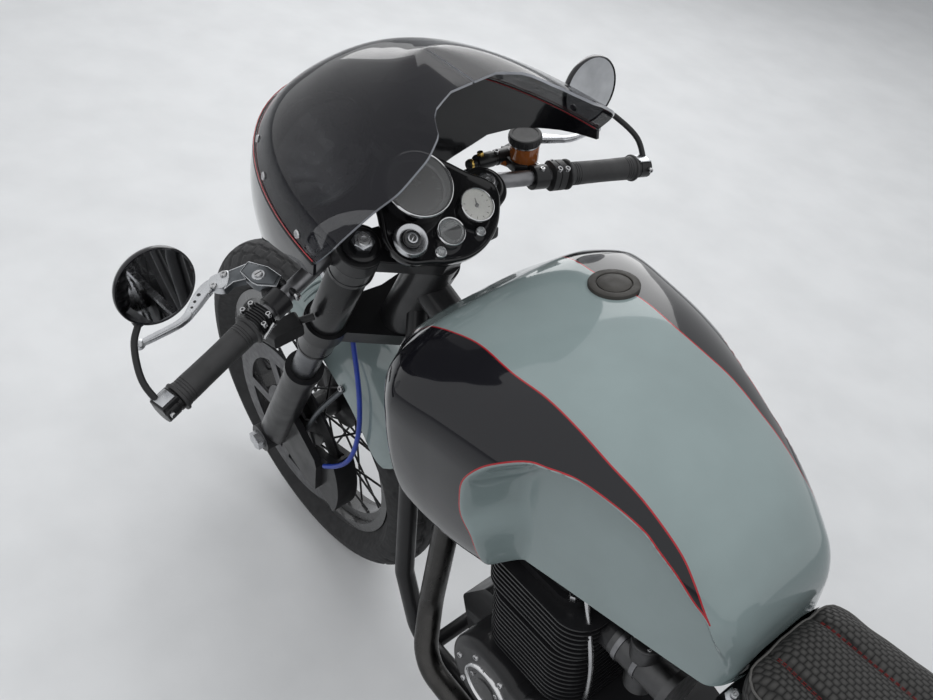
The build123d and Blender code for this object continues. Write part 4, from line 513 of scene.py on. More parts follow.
# The pitch is in metres; each row is set half a nodule along from the last
WEAVE_PITCH = 0.0062
WEAVE_STRETCH = 0.72
down_side = weave.math("ADD", split.outputs[1], split.outputs[2])
v = weave.math("MULTIPLY", down_side, 1 / WEAVE_PITCH)
row_of = weave.math("FLOOR", v)
along_row = weave.math("MULTIPLY", split.outputs[0], WEAVE_STRETCH / WEAVE_PITCH)
u = weave.math("ADD", along_row, weave.math("MULTIPLY", row_of, 0.5))
nodule_u = weave.math("ABSOLUTE", weave.math("SINE", weave.math("MULTIPLY", u, pi)))
nodule_v = weave.math("ABSOLUTE", weave.math("SINE", weave.math("MULTIPLY", v, pi)))
nodule = weave.math("POWER", weave.math("MULTIPLY", nodule_u, nodule_v), 0.6)
# The colour is darker in the grooves and lighter on the nodule tops: painted shade in the grooves and a painted
# highlight on the tops
weave.colour(weave.mix(nodule, (0.004, 0.004, 0.004), (0.034, 0.033, 0.032)))
weave.rough(weave.remap(nodule, 0, 1, 0.75, 0.42))
weave.bump(nodule, 0.0011, 1.0)
mats["seat_weave"] = weave.mat

slots = {row["node"]: row["material_slot"] for row in frame["record"]["subparts"]}
NODE_LOOKS = {"carburettors": "carb_dark"}
for name, obj in nodes.items():
    obj.data.materials.clear()
    obj.data.materials.append(mats[NODE_LOOKS.get(name, slots[name])])


# ---------------------------------------------------------------- tank
TANK_ROWS = [
    # station, top, half width, height of the width, fullness, bottom half width, bottom
    (324.0, 868.0, 100.0, 822.0, 3.3, 84.0, 790.0),
    (310.0, 888.0, 122.0, 828.0, 3.5, 104.0, 760.0),
    (290.0, 906.0, 143.0, 838.0, 3.6, 126.0, 732.0),
    (262.0, 928.0, 175.0, 850.0, 3.6, 148.0, 708.0),
    (220.0, 942.0, 197.0, 860.0, 3.5, 158.0, 690.0),
    (160.0, 954.0, 190.0, 861.0, 3.2, 156.0, 684.0),
    (90.0, 960.0, 180.0, 859.0, 2.95, 146.0, 688.0),
    (10.0, 955.0, 161.0, 856.0, 2.8, 130.0, 698.0),
    (-70.0, 938.0, 135.0, 846.0, 2.7, 114.0, 708.0),
    (-140.0, 907.0, 108.0, 828.0, 2.6, 96.0, 717.0),
    (-190.0, 864.0, 89.0, 806.0, 2.5, 82.0, 725.0),
    (-218.0, 832.0, 76.0, 792.0, 2.5, 70.0, 732.0),
]
# Edge of the knee recess on the tank's side, and the pinstripe along the top
KNEE_EDGE = [
    (93, 150, 680), (94, 154, 705), (96, 164, 732), (99, 175, 760), (111, 181, 791), (112, 183, 824), (107, 183, 860),
    (86, 176, 897), (62, 160, 917), (43, 147, 926), (27, 140, 928), (-5, 126, 929), (-43, 115, 922), (-82, 106, 910),
    (-105, 104, 897), (-130, 101, 880), (-153, 99, 860), (-175, 95, 839), (-196, 92, 798), (-216, 88, 740),
]
TOP_STRIPE = [
    (340, 106, 800), (324, 103, 862), (300, 103, 896), (275, 102, 915), (242, 99, 933), (194, 93, 946), (131, 97, 953),
    (79, 93, 954), (32, 93, 950), (-17, 94, 941), (-65, 91, 927), (-116, 90, 902), (-145, 93, 878), (-175, 95, 839),
]
# Floor of the recess, the flat strip inside its edge and the softness of the edge's bend
KNEE_Y = 105.0
KNEE_SLOPE = 0.117
KNEE_STRIP = 1.6
KNEE_BEND = 0.12
UPPER_STEPS = 64
LOWER_STEPS = 40
TANK_STATIONS = 300
LINE_STEPS = 16
DISTANCE_BATCH = 2000
TANK_FRONT = 324.0
TANK_REAR = -209.0
FRONT_ROUND = 10.0
REAR_ROUND = 30.0
# Underside: lowest ceiling, and the tunnel over the frame with its roof climbing forward from the rear
CEILING = 735.0
TUNNEL_HALF = 33.0
TUNNEL_REAR = -240
TUNNEL_ROOF = 772
TUNNEL_CLIMB = 60 / 540
# Value of both paint distances on the underside, surely outside either line
OUTSIDE = -50.0


def tank_side(x):
    """Half section of the tank at a station, from the middle of the top to the lip underneath."""
    top, width, width_z, fullness, bottom, bottom_z = (pchip(TANK_ROWS, column, x) for column in range(1, 7))
    power = 2 / fullness
    side = []
    for k in range(UPPER_STEPS + 1):
        # Steps are closed up where the curve is tightest
        angle = pi / 2 * k / UPPER_STEPS
        if angle < pi / 4:
            y_part = k / (UPPER_STEPS / 2) * sin(pi / 4) ** power
            z_part = (max(0.0, 1 - y_part ** fullness)) ** (1 / fullness)
        else:
            z_part = (1 - (k - UPPER_STEPS / 2) / (UPPER_STEPS / 2)) * cos(pi / 4) ** power
            y_part = (max(0.0, 1 - z_part ** fullness)) ** (1 / fullness)
        side.append((width * y_part, width_z + (top - width_z) * z_part))
    for k in range(1, LOWER_STEPS + 1):
        angle = pi / 2 * k / LOWER_STEPS
        side.append((bottom + (width - bottom) * cos(angle), width_z - (width_z - bottom_z) * sin(angle)))
    return side


def on_skin(line, steps):
    """A smooth line through the given points, laid down on the tank's surface."""
    laid = []
    for x, y, z in curve_through(line, steps):
        x = min(x, TANK_FRONT)
        side = np.array(tank_side(x))
        here, step = side[:-1], np.diff(side, axis=0)
        along = ((np.array([y, z]) - here) * step).sum(1) / np.maximum((step ** 2).sum(1), 1e-9)
        spots = here + step * np.clip(along, 0, 1)[:, None]
        nearest = spots[((spots - (y, z)) ** 2).sum(1).argmin()]
        laid.append((x, nearest[0], nearest[1]))
    return np.array(laid)


def signed_distance(points, line, inside):
    """Distance from each point to a line on the surface, positive where inside says so."""
    here, step = line[:-1], np.diff(line, axis=0)
    size = np.maximum((step ** 2).sum(1), 1e-9)
    gaps = np.empty(len(points))
    for start in range(0, len(points), DISTANCE_BATCH):
        batch = slice(start, start + DISTANCE_BATCH)
        part = points[batch, None, :] - here[None, :, :]
        along = np.clip((part * step).sum(2) / size, 0, 1)
        gaps[batch] = np.sqrt(((part - along[:, :, None] * step) ** 2).sum(2)).min(1)
    return np.where(inside, gaps, -gaps)


tank_stations = [TANK_FRONT - (TANK_FRONT - TANK_REAR) * k / TANK_STATIONS for k in range(TANK_STATIONS + 1)]
half = np.array([[(x, y, z) for y, z in tank_side(x)] for x in tank_stations])
flat = half.reshape(-1, 3)
edge_line = on_skin(KNEE_EDGE, LINE_STEPS)
# The recess as seen from the side, closed well below the tank
outline_xz = np.vstack([edge_line[:, [0, 2]], [[KNEE_EDGE[-1][0], 600], [KNEE_EDGE[0][0], 600]]])
inside_knee = np.zeros(len(flat), bool)
for (x0, z0), (x1, z1) in zip(outline_xz, np.roll(outline_xz, -1, axis=0)):
    crosses = (z0 > flat[:, 2]) != (z1 > flat[:, 2])
    with np.errstate(divide="ignore", invalid="ignore"):
        at = x0 + (flat[:, 2] - z0) * (x1 - x0) / (z1 - z0 if z1 != z0 else 1e-9)
    inside_knee ^= crosses & (flat[:, 0] < at)
knee_field = signed_distance(flat, edge_line, inside_knee)
top_line = on_skin(TOP_STRIPE, LINE_STEPS)
stripe_y = np.interp(flat[:, 0], top_line[::-1, 0], top_line[::-1, 1])
width_z = np.repeat([pchip(TANK_ROWS, 3, x) for x in tank_stations], half.shape[1])
in_stripe = (flat[:, 1] < stripe_y) & (flat[:, 2] > width_z) | (flat[:, 0] < TOP_STRIPE[-1][0])
stripe_field = signed_distance(flat, top_line, in_stripe)
# The recess: a floor leaning in to the rear, with flared walls that start at the crisp edge
floor_y = KNEE_Y + KNEE_SLOPE * flat[:, 0]
depth = np.maximum(0, flat[:, 1] - floor_y) * inside_knee
wall = depth * 0.5 + 8
into = np.clip(np.maximum(knee_field - KNEE_STRIP, 0) / wall, 0, 1)
sunk = np.sin(into * pi / 2) * into / (into + KNEE_BEND) * (1 + KNEE_BEND)
pressed = flat.copy()
pressed[:, 1] -= depth * sunk
pressed = pressed.reshape(half.shape)
tank = Build("tank_shell")
rows, knee_values, stripe_values = [], [], []
knee_field = knee_field.reshape(half.shape[:2])
stripe_field = stripe_field.reshape(half.shape[:2])
for r, x in enumerate(tank_stations):
    side = [(y, z) for _, y, z in pressed[r]]
    # Both ends are rounded over by pulling the section in along its own normals
    pull = 0.0
    for near_end, size in ((TANK_FRONT - x, FRONT_ROUND), (x - TANK_REAR, REAR_ROUND)):
        if near_end < size:
            pull = size - sqrt(max(0.0, size ** 2 - (size - near_end) ** 2))
    moved = []
    for k, (y, z) in enumerate(side):
        a, b = side[max(0, k - 1)], side[min(len(side) - 1, k + 1)]
        way = Vector((b[0] - a[0], b[1] - a[1]))
        way = way.normalized() if k and way.length > 1e-6 else Vector((1, 0))
        moved.append((y + way.y * pull, z - way.x * pull))
    lip_y, lip_z = moved[-1]
    inner = max(TUNNEL_HALF + 1.5, lip_y - 12)
    ceiling = max(CEILING, lip_z + 8)
    tunnel = max(TUNNEL_ROOF + (x - TUNNEL_REAR) * TUNNEL_CLIMB, ceiling)
    under = [
        (inner, lip_z + 2), (inner - 3, ceiling), (TUNNEL_HALF, ceiling), (TUNNEL_HALF - 2, tunnel), (0, tunnel),
    ]
    path = moved + under
    loop = path + [(-y, z) for y, z in reversed(path[1:-1])]
    rows.append([(x, y, z) for y, z in loop])
    for values, field in ((knee_values, knee_field), (stripe_values, stripe_field)):
        line = list(field[r]) + [OUTSIDE] * len(under)
        values += line + list(reversed(line[1:-1]))
tank.grid(rows, "tank_two_tone", caps=True)
tank.done("chassis", ["tank"], crease=50, fields={"knee": knee_values, "stripe": stripe_values})

# Fuel cap: flush ring and disc with a groove between them
CAP_AT = Vector((166.0, -89.0, 929.0))
CAP_AXIS = Vector((0.14, -0.10, 1.0)).normalized()
cap = Build("filler_cap")
cap.turned(CAP_AT, CAP_AXIS, [
    (24, 14), (31, 16), (31.2, 23.4), (30.6, 24.6), (29, 25.2), (22.6, 25.2), (21.8, 24.6), (21.4, 23.2), (20.6, 23.2),
    (20.2, 24.6), (19.4, 25.1), (8, 25.5), (0, 25.6),
], "cap_plastic", 64)
cap.done("chassis", ["fuel_cap"])


# ---------------------------------------------------------------- screen
SCREEN_BASE = 1028.6
SCREEN_ROWS = [
    # rise above the base, nose reach, half width
    (0.0, 653.0, 212.0), (41.0, 612.0, 201.0), (77.0, 566.0, 163.0), (99.0, 529.0, 133.0), (119.0, 483.0, 106.0),
    (136.0, 442.0, 81.0), (144.0, 424.0, 63.0), (150.0, 410.0, 32.0),
]
# Rear edge of the screen seen from the side: rise above the base, x
SCREEN_REAR = [(0, 332), (41, 301), (77, 285), (99, 275), (119, 274), (136, 283), (144, 312), (150, 325)]
SHOULDER_X = 290.0
NOSE_FULLNESS = 2.1
NOSE_POWER = 2 / NOSE_FULLNESS
SCREEN_HEIGHT = 150
SIDE_STEPS = 6
NOSE_STEPS = 40
CROWN_X = 325


def bubble_row(nose, width, rear):
    """Screen or fairing seen from above at one height, from its left rear edge round to the right."""
    reach = nose - SHOULDER_X
    row = []
    for side in (1, -1):
        part = []
        start = min(rear, SHOULDER_X)
        for k in range(SIDE_STEPS):
            part.append((start + (SHOULDER_X - start) * k / SIDE_STEPS, side * width))
        for k in range(NOSE_STEPS + 1):
            angle = pi / 2 * k / NOSE_STEPS
            x = SHOULDER_X + reach * sin(angle) ** NOSE_POWER if k else SHOULDER_X
            y = side * width * cos(angle) ** NOSE_POWER if k < NOSE_STEPS else 0.0
            part.append((x, y))
        if rear > SHOULDER_X:
            # Rows that end ahead of the shoulder are cut there and spread evenly again
            kept = [p for p in part if p[0] >= rear]
            for a, b in zip(part, part[1:]):
                if a[0] < rear <= b[0]:
                    t = (rear - a[0]) / (b[0] - a[0])
                    kept.insert(0, (rear, a[1] + (b[1] - a[1]) * t))
            part = kept
        lengths = [0.0]
        for a, b in zip(part, part[1:]):
            lengths.append(lengths[-1] + sqrt((a[0] - b[0]) ** 2 + (a[1] - b[1]) ** 2))
        count = SIDE_STEPS + NOSE_STEPS
        even = []
        j = 0
        for k in range(count + 1):
            want = lengths[-1] * k / count
            while j < len(lengths) - 2 and lengths[j + 1] < want:
                j += 1
            t = (want - lengths[j]) / max(1e-9, lengths[j + 1] - lengths[j])
            (ax, ay), (bx, by) = part[j], part[j + 1]
            even.append((ax + (bx - ax) * t, ay + (by - ay) * t))
        row += even if side == 1 else list(reversed(even))[1:]
    return row


def screen_size(rise):
    """Nose reach and half width of the screen at a rise above its base."""
    return pchip(SCREEN_ROWS, 1, rise), pchip(SCREEN_ROWS, 2, rise)


screen = Build("wind_screen")
rows = []
for k in range(61):
    rise = SCREEN_HEIGHT * k / 60
    plan = bubble_row(*screen_size(rise), pchip(SCREEN_REAR, 1, rise))
    rows.append([(x, y, SCREEN_BASE + rise) for x, y in plan])
# The crown closes over from the last row to a short flat strip
last = rows[-1]
for share in (0.66, 0.33, 0.04):
    z = SCREEN_BASE + SCREEN_HEIGHT + 0.2 * (1 - share)
    rows.append([(CROWN_X + (x - CROWN_X) * (0.97 + 0.03 * share), y * share, z) for x, y, _ in last])
screen.grid(rows, "screen_tint", around=False)
# The solidified rim takes screen_edge, a pale colour that is a painted highlight along the screen's cut edge
screen.mats.append("screen_edge")
screen.done("steering", ["windscreen"], crease=80, modifiers=(
    ("SOLIDIFY", {"thickness": 0.003, "offset": 1.0, "material_offset_rim": 1, "use_even_offset": True}),
))

# Each screw stands on the skin, along the skin's own normal there
SCREW_STATIONS = (373, 485, 553)
SCREW_RISE = 12.0
SCREW_PROFILE = [(5.2, 0), (5.4, 1), (4.4, 2.6), (2.2, 3.2), (2, 2.4), (0, 2.3)]
screen_bolts = Build("screen_screws")
nose, width = screen_size(SCREW_RISE)
reach = nose - SHOULDER_X
for x in SCREW_STATIONS:
    part = (x - SHOULDER_X) / reach
    on_y = width * (1 - part ** NOSE_FULLNESS) ** (1 / NOSE_FULLNESS)
    slope = NOSE_FULLNESS - 1
    normal = Vector((part ** slope / reach, (on_y / width) ** slope / width, 0.0009)).normalized()
    for side in (1, -1):
        facing = flip(normal, side)
        spot = Vector((x, side * on_y, SCREEN_BASE + SCREW_RISE))
        screen_bolts.turned(spot - facing * 0.5, facing, SCREW_PROFILE, "steel_bright", 24)
screen_bolts.done("steering")

# ---------------------------------------------------------------- dash
DASH = Vector((387.6, 0.0, 966.7))
DASH_X = Vector((0, -1, 0))
DASH_Y = Vector((0.835, 0, 0.55)).normalized()
DASH_UP = DASH_X.cross(DASH_Y)
DASH_OUTLINE = [
    (-70, 26), (-82, -5), (-80, -28), (-67, -45), (-42, -55), (-24, -63), (5, -70), (35, -66), (64, -50), (86, -23),
    (92, -3), (84, 12), (69, 26), (50, 50), (32, 70), (12, 84), (-13, 88), (-40, 80), (-60, 58),
]


def on_dash(x, y, rise=0.0):
    """Point on the instrument panel, or raised off it."""
    return DASH + DASH_X * x + DASH_Y * y + DASH_UP * rise


dash = Build("dash_panel")
dash.plate(on_dash(0, 0), DASH_X, DASH_Y, curve_through(DASH_OUTLINE, 6, closed=True), 0, "panel_black", profile=[
    (6, -15), (2, -14), (0, -11), (0, -3.4), (0.5, -1.6), (1.6, -0.4), (3, 0), (4.2, -0.3), (5.2, -1.2), (6.4, -1.8),
])
dash.turned(steer(0, 0, 708), STEER_UP, [(12, 0), (12, 26), (0, 26)], "panel_black", 32)
dash.done("steering", ["instrument_panel"], crease=60)

# Where the dials and the two warning lamps sit on the panel
MAIN_DIAL = (-13.2, 34.9)
KEY_LOCK = (-54.5, -19.7)
SMALL_LENS = (-1.5, -31.6)
PALE_DIAL = (46.1, -17.3)
LAMPS = ((-26.7, -48.2, 8.0), (35.8, -47.3, 7.0))


def around(centre, angle, radius):
    """Point on a circle about a dial's centre, in the panel's own plane."""
    return centre[0] + cos(angle) * radius, centre[1] + sin(angle) * radius


gauges = Build("dash_gauges")
gauges.turned(on_dash(*MAIN_DIAL), DASH_UP, [
    (41, -3), (43.4, -2.5), (43.6, 15.5), (44.4, 16.4), (44.5, 19.6), (43.8, 21.3), (42.7, 21.9), (41.5, 21.5),
    (41.0, 20.2), (40.2, 18.6), (37.8, 9), (35.2, 7.4), (34.8, 6.9), (0, 6.9),
], ["black_gloss"] * 2 + ["chrome"] * 6 + ["dial_grey"] * 3 + ["dial_face"] * 2, 72)
MARK_LOW, MARK_HIGH = 6.8, 7.1
for k in range(41):
    way = radians(-220 + 260 * k / 40)
    start, wide = (26.5, 0.5) if k % 5 == 0 else (29.0, 0.25)
    corners = []
    for radius, sign in ((start, -1), (32.0, -1), (32.0, 1), (start, 1)):
        x, y = around(MAIN_DIAL, way, radius)
        corners.append((x - sin(way) * wide * sign, y + cos(way) * wide * sign))
    verts = [on_dash(x, y, rise) for rise in (MARK_LOW, MARK_HIGH) for x, y in corners]
    faces = [(4, 5, 6, 7), (3, 2, 1, 0)] + [(k, (k + 1) % 4, (k + 1) % 4 + 4, k + 4) for k in range(4)]
    gauges.add(verts, faces, "dial_grey")
gauges.turned(on_dash(*KEY_LOCK), DASH_UP, [
    (22, -3), (22.4, -2.4), (22.4, 4), (21.2, 6.4), (20.6, 8.2), (19.6, 8.9), (17.6, 8.6), (12.2, 6.6), (11.6, 5.8),
    (11.4, 4.6), (11.2, 10.4), (10.4, 11.6), (8.2, 11.8), (7.8, 10.6), (6.6, 10.4), (6.2, 11.8), (4.6, 12), (4.2, 11.2),
    (0, 11),
], (
    ["panel_black"] * 2 + ["silver_alloy"] * 6 + ["dial_face"] * 4 + ["perch_grey"] * 3 + ["silver_alloy"]
    + ["dial_face"] * 3
), 56)
key_slot = [(-4, -0.7), (4, -0.7), (4, 0.7), (-4, 0.7)]
slot_x, slot_y = DASH_X * 0.8 + DASH_Y * 0.6, DASH_Y * 0.8 - DASH_X * 0.6
gauges.plate(on_dash(*KEY_LOCK, 10.6), slot_x, slot_y, key_slot, 0.9, "silver_alloy", edge=0.2)
gauges.turned(on_dash(*SMALL_LENS), DASH_UP, [
    (19, -3), (19.4, -2.4), (19.5, 5.4), (18.8, 7.2), (17.8, 7.8), (16.8, 7.2), (16.4, 5.4), (14, 2.4), (6, 1),
    (0, 0.8),
], ["chrome"] * 6 + ["dial_grey"] * 4, 56)
gauges.turned(on_dash(*PALE_DIAL), DASH_UP, [
    (22, -3), (22.2, -2.4), (22.3, 8.6), (23, 9.6), (23, 12), (22.3, 13.4), (21.3, 13.8), (20.5, 13), (20.2, 11.6),
    (19.6, 9.8), (0, 9.8),
], ["black_gloss"] * 2 + ["chrome"] * 6 + ["dial_pale"] * 3, 56)
for k in range(9):
    way = radians(-210 + 240 * k / 8)
    gauges.tube([on_dash(*around(PALE_DIAL, way, radius), 9.9) for radius in (15.2, 17.8)], 0.4, "dial_face", 6)
needle = [(0, 1.1), (9.5, 0.3), (9.5, -0.3), (0, -1.1), (-3, -1.4), (-3, 1.4)]
needle_x, needle_y = DASH_X * 0.3 + DASH_Y * 0.954, DASH_Y * 0.3 - DASH_X * 0.954
gauges.plate(on_dash(*PALE_DIAL, 10), needle_x, needle_y, needle, 0.8, "dial_face", edge=0.15)
gauges.turned(on_dash(*PALE_DIAL, 9.6), DASH_UP, [(2.6, 0), (2.4, 1.8), (0, 2)], "dial_face", 20)
for x, y, radius in LAMPS:
    gauges.turned(on_dash(x, y), DASH_UP, [
        (radius - 0.2, -3), (radius, 2.4), (radius - 0.6, 4), (radius - 1.6, 4.6), (radius - 2.4, 3.8),
        (radius - 2.6, 2.4), (0, 2.2),
    ], ["chrome"] * 5 + ["dial_grey"], 36)
gauges.done("steering", ["gauges"], crease=40)

glasses = Build("dash_glasses")
glasses.turned(on_dash(*MAIN_DIAL), DASH_UP, [(41, 18.9), (41, 19.5), (22, 20.6), (0, 21)], "dial_glass", 56)
glasses.turned(on_dash(*PALE_DIAL), DASH_UP, [(20.2, 11.8), (20.2, 12.2), (10, 12.9), (0, 13.1)], "dial_glass", 40)
dome = [(16.6, 6.4), (15.6, 7.8), (12, 9.2), (6, 9.8), (0, 10)]
glasses.turned(on_dash(*SMALL_LENS), DASH_UP, dome, "lens_clear", 40)
for x, y, rim in LAMPS:
    radius = rim - 2.6
    dome = [(radius, 2.6), (radius, 4), (radius * 0.7, 5.4), (0, 5.8)]
    glasses.turned(on_dash(x, y), DASH_UP, dome, "lens_clear", 28)
glasses.done("steering", crease=30)


# ---------------------------------------------------------------- handlebars
GRIP_INNER = Vector((425.0, 252.0, 887.0))
GRIP_OUTER = Vector((402.0, 367.0, 861.0))


def bar_frame(side):
    """Inner and outer grip ends, the way along the bar, and a side and top direction square to it."""
    inner, outer = flip(GRIP_INNER, side), flip(GRIP_OUTER, side)
    along = (outer - inner).normalized()
    front = Vector((1, 0, 0))
    front = (front - along * front.dot(along)).normalized()
    top = Vector((0, 0, 1))
    top = (top - along * top.dot(along) - front * top.dot(front)).normalized()
    return inner, outer, along, front, top


def ribs(starts, high, low, steps):
    """Profile points of raised rings; steps say where each ring ends and where its groove starts and ends."""
    return [
        point for start in starts
        for point in zip((high, high, low, low), (start, *(start + step for step in steps)))
    ]


GRIP_RIBS = 16.4, 15.7, (2.2, 2.6, 3.2)
grips = Build("bar_grips")
for side in (1, -1):
    inner, outer, along, front, top = bar_frame(side)
    length = (outer - inner).length
    profile = [(11.2, 0), (20.5, 0.2), (21.4, 1.2), (21.4, 3.4), (20.4, 4.6), (17.4, 5.4)]
    profile += ribs((9.0, 12.5, 16.0), *GRIP_RIBS)
    profile += [(16.4, 20), (16.0, 40), (15.9, 60), (16.1, 85)]
    profile += ribs((length - 20, length - 16.5, length - 13), *GRIP_RIBS)
    end = ((16.5, 9), (17.2, 5), (19, 4), (19.4, 2.6), (18.8, 0.4), (11.2, 0))
    profile += [(radius, length - back) for radius, back in end]
    grips.turned(inner, along, profile, "grip_rubber", 48)
grips.done("steering", ["grips"], crease=35)

mirrors = Build("bar_end_mirrors")
for side in (1, -1):
    inner, outer, along, front, top = bar_frame(side)
    mirrors.turned(outer, along, [
        (11.4, 0.3), (14.4, 0.4), (15, 1.2), (15, 5), (14.2, 5.6), (14.2, 7), (15, 7.6), (15, 24), (14.2, 25),
        (8, 25.4), (0, 25.4),
    ], "black_metal", 40)
    block = outer + along * 8
    for reach, rise, depth, mat, edge in (
        (12, 3, 12.4, "black_metal", 1.4), (9.5, 15.4 if side == 1 else 15.2, 1.6, "silver_alloy", 0.5),
    ):
        square = [(x * reach, y * reach + 5.6) for x, y in ((-1, -1), (1, -1), (1, 1), (-1, 1))]
        mirrors.plate(block + top * rise, front, along, square, depth, mat, edge=edge)
    for x, y in ((15, 16), (-14, 16)):
        spot = block + front * x + along * y * 0.9 + top * 4
        mirrors.bolt(spot - along * 3, front * (1 if x > 0 else -1), 3.4, 6)
    glass_at = flip((472.0, 337.0, 966.0), side)
    facing = flip((-0.992, 0.015, 0.123), side).normalized()
    mount = outer + along * 20
    foot = glass_at + Vector((-4, side * 27, -40)) - facing * 8
    elbows = [mount + Vector((26, side * 8, 32)), mount + Vector((60, side * -4, 54))]
    mirrors.tube(curve_through([mount + top * 6, *elbows, foot], 8), [5.2] + [4.2] * 22 + [4.8] * 2, "black_metal", 14)
    mirrors.turned(foot - facing * 5, facing, [(7, 0), (8, 1), (8, 6), (6.5, 8)], "black_metal", 24)
    mirrors.turned(glass_at, -facing, [
        (0, 0.4), (46.4, 0.4), (47.2, -0.6), (48.6, -0.9), (49.3, 0.6), (49.4, 3.4), (48.6, 7), (45.5, 10.6),
        (38, 13.6), (24, 15.4), (10, 15.9), (0, 16),
    ], ["mirror_glass"] + ["black_gloss"] * 10, 72)
mirrors.done("steering", ["mirrors"], crease=30)

# Clutch lever: perch plate, folding knuckle and blade, drawn in a plane that falls towards the tip
LEVER_AT = Vector((488.0, 200.0, 912.0))
LEVER_OUT = Vector((0, 1, -0.131)).normalized()
LEVER_BACK = Vector((-1, 0, 0))
PERCH_OUTLINE = [(4, -17), (-9.5, 8), (-13, 33), (1, 43), (16.7, 25), (19.5, 16), (20, -9)]
ROOT_OUTLINE = [(4.5, -16), (20, -9), (21.6, 5), (35, -1.5), (50, 1.2), (43, -4.3), (35, -11.8), (30, -21.4)]
KNUCKLE_OUTLINE = [
    (29.7, -21.4), (34.2, -26.6), (42.5, -28), (53.4, -28.3), (60.5, -18), (56.3, -7.2), (48.2, -1.7), (35, -12),
]
BLADE_UPPER = [
    (52.8, -27.7), (61.3, -27.9), (73.2, -23.8), (84.9, -16.5), (95.2, -8.3), (107.2, 1.3), (119.7, 5.2), (135.8, 4.6),
    (152.9, 3), (163, 2.6),
]
BLADE_LOWER = [
    (62, -8.9), (71, -4.5), (83, 2), (95.9, 8), (106.8, 12.5), (119.3, 14.4), (133.4, 13.6), (150.7, 12), (166.4, 10),
]
LEVER_PIVOT = (6.7, 12.1)
LEVER_SCREWS = [(37.6, -20.5), (57, -12.2)]
BLADE_HOLES = [(78.2, -11.8, 2.6), (87.5, -5.2, 2.1), (95, 0.8, 1.7)]


def on_lever(a, b, rise=0.0, mirror=1):
    """Point a out along the lever, b back from it and raised off its plane."""
    point = LEVER_AT + LEVER_OUT * a + LEVER_BACK * b + LEVER_OUT.cross(LEVER_BACK) * rise
    return flip(point, mirror)


def lever_plate(piece, outline, low, high, mat, mirror, edge=1.0):
    """Flat part of a lever between two heights, mirrored to the right for the brake."""
    out = flip(LEVER_OUT, mirror)
    if mirror == 1:
        piece.plate(on_lever(0, 0, low), out, LEVER_BACK, outline, high - low, mat, edge=edge)
    else:
        turned_over = [(y, x) for x, y in outline]
        piece.plate(on_lever(0, 0, low, -1), LEVER_BACK, out, turned_over, high - low, mat, edge=edge)


def lever_body(piece, mirror, perch_mat):
    """Perch, root and knuckle, and a blade with rounded edges, thickest at its knuckle, with a ball at the tip."""
    lever_plate(piece, PERCH_OUTLINE, -14, -0.4, perch_mat, mirror, edge=1.2)
    lever_plate(piece, ROOT_OUTLINE, -12, -1.6, perch_mat, mirror)
    lever_plate(piece, curve_through(KNUCKLE_OUTLINE, 3, closed=True), -13, -1.0, "silver_alloy", mirror, edge=1.2)
    upper = curve_through(BLADE_UPPER, 5)
    lower = curve_through(BLADE_LOWER, 5)
    count = 46
    rows = []
    for k in range(count + 1):
        t = k / count
        a, b = (line[min(len(line) - 1, round(t * (len(line) - 1)))] for line in (upper, lower))
        mid, half_way = (a + b) / 2, (b - a) / 2
        thick = 5.0 - 1.2 * t
        ring = []
        for wide, high in rounded_square(16, 0.5):
            q = mid + half_way * wide
            ring.append(on_lever(q.x, q.y, -1 - thick + thick * high, mirror))
        rows.append(ring)
    piece.grid(rows, "silver_alloy", caps=True)
    ball = [(0, -7), (4.4, -5.6), (6.6, -2.6), (7, 0), (6.6, 2.6), (4.4, 5.6), (0, 7)]
    piece.turned(on_lever(170.5, 5.5, -5, mirror), (0, 0, 1), ball, "silver_alloy", 24)


def bar_clamp(piece, inner, along):
    """Clamp round the bar inboard of the grip; gives back its middle."""
    middle = inner - along * 44
    clamp = [(11.4, 0), (16.2, 0.2), (17, 1), (17, 23), (16.2, 23.8), (11.4, 24)]
    piece.turned(middle - along * 12, along, clamp, "black_metal", 40)
    return middle


clutch = Build("clutch_lever_set")
inner, outer, along, front, top = bar_frame(1)
lever_body(clutch, 1, "perch_grey")
raised = [(x * 0.9 + 0.4, y * 0.86 + 1.4) for x, y in PERCH_OUTLINE]
lever_plate(clutch, raised, -0.6, 0.6, "perch_grey", 1, edge=0.4)
up_lever = LEVER_OUT.cross(LEVER_BACK)
for rise, profile, mat in (
    (-0.6, [(8.6, 0), (8.6, 1.4), (7.6, 2.2), (0, 2.3)], "silver_alloy"),
    (1.4, [(5.4, 0), (5.4, 2), (4.6, 2.7), (0, 2.8)], "steel_bright"),
):
    clutch.turned(on_lever(*LEVER_PIVOT, rise), up_lever, profile, mat, 32 if rise < 0 else 28)
screw_slot = [(-4.6, -0.6), (4.6, -0.6), (4.6, 0.6), (-4.6, 0.6)]
clutch.plate(on_lever(*LEVER_PIVOT, 3.9), LEVER_OUT, LEVER_BACK, screw_slot, 0.5, "black_metal", edge=0.1)
for a, b in LEVER_SCREWS:
    screw = [(4.6, 0), (4.6, 2), (3.8, 2.8), (1.8, 2.8), (1.6, 1.6), (0, 1.6)]
    clutch.turned(on_lever(a, b, -1.2), up_lever, screw, "steel_bright", 28)
for a, b, radius in BLADE_HOLES:
    hole = [(radius, 0), (radius, 0.75), (radius - 0.5, 0.8), (0, 0.7)]
    clutch.turned(on_lever(a, b, -1.6), up_lever, hole, "black_metal", 20)
# Silver outline round the perch's top face
for outline, rise in ((PERCH_OUTLINE, -0.5), (ROOT_OUTLINE, -1.7)):
    ring = [on_lever(x, y, rise) for x, y in outline]
    clutch.tube([*ring, ring[0]], 0.75, "silver_alloy", 8)
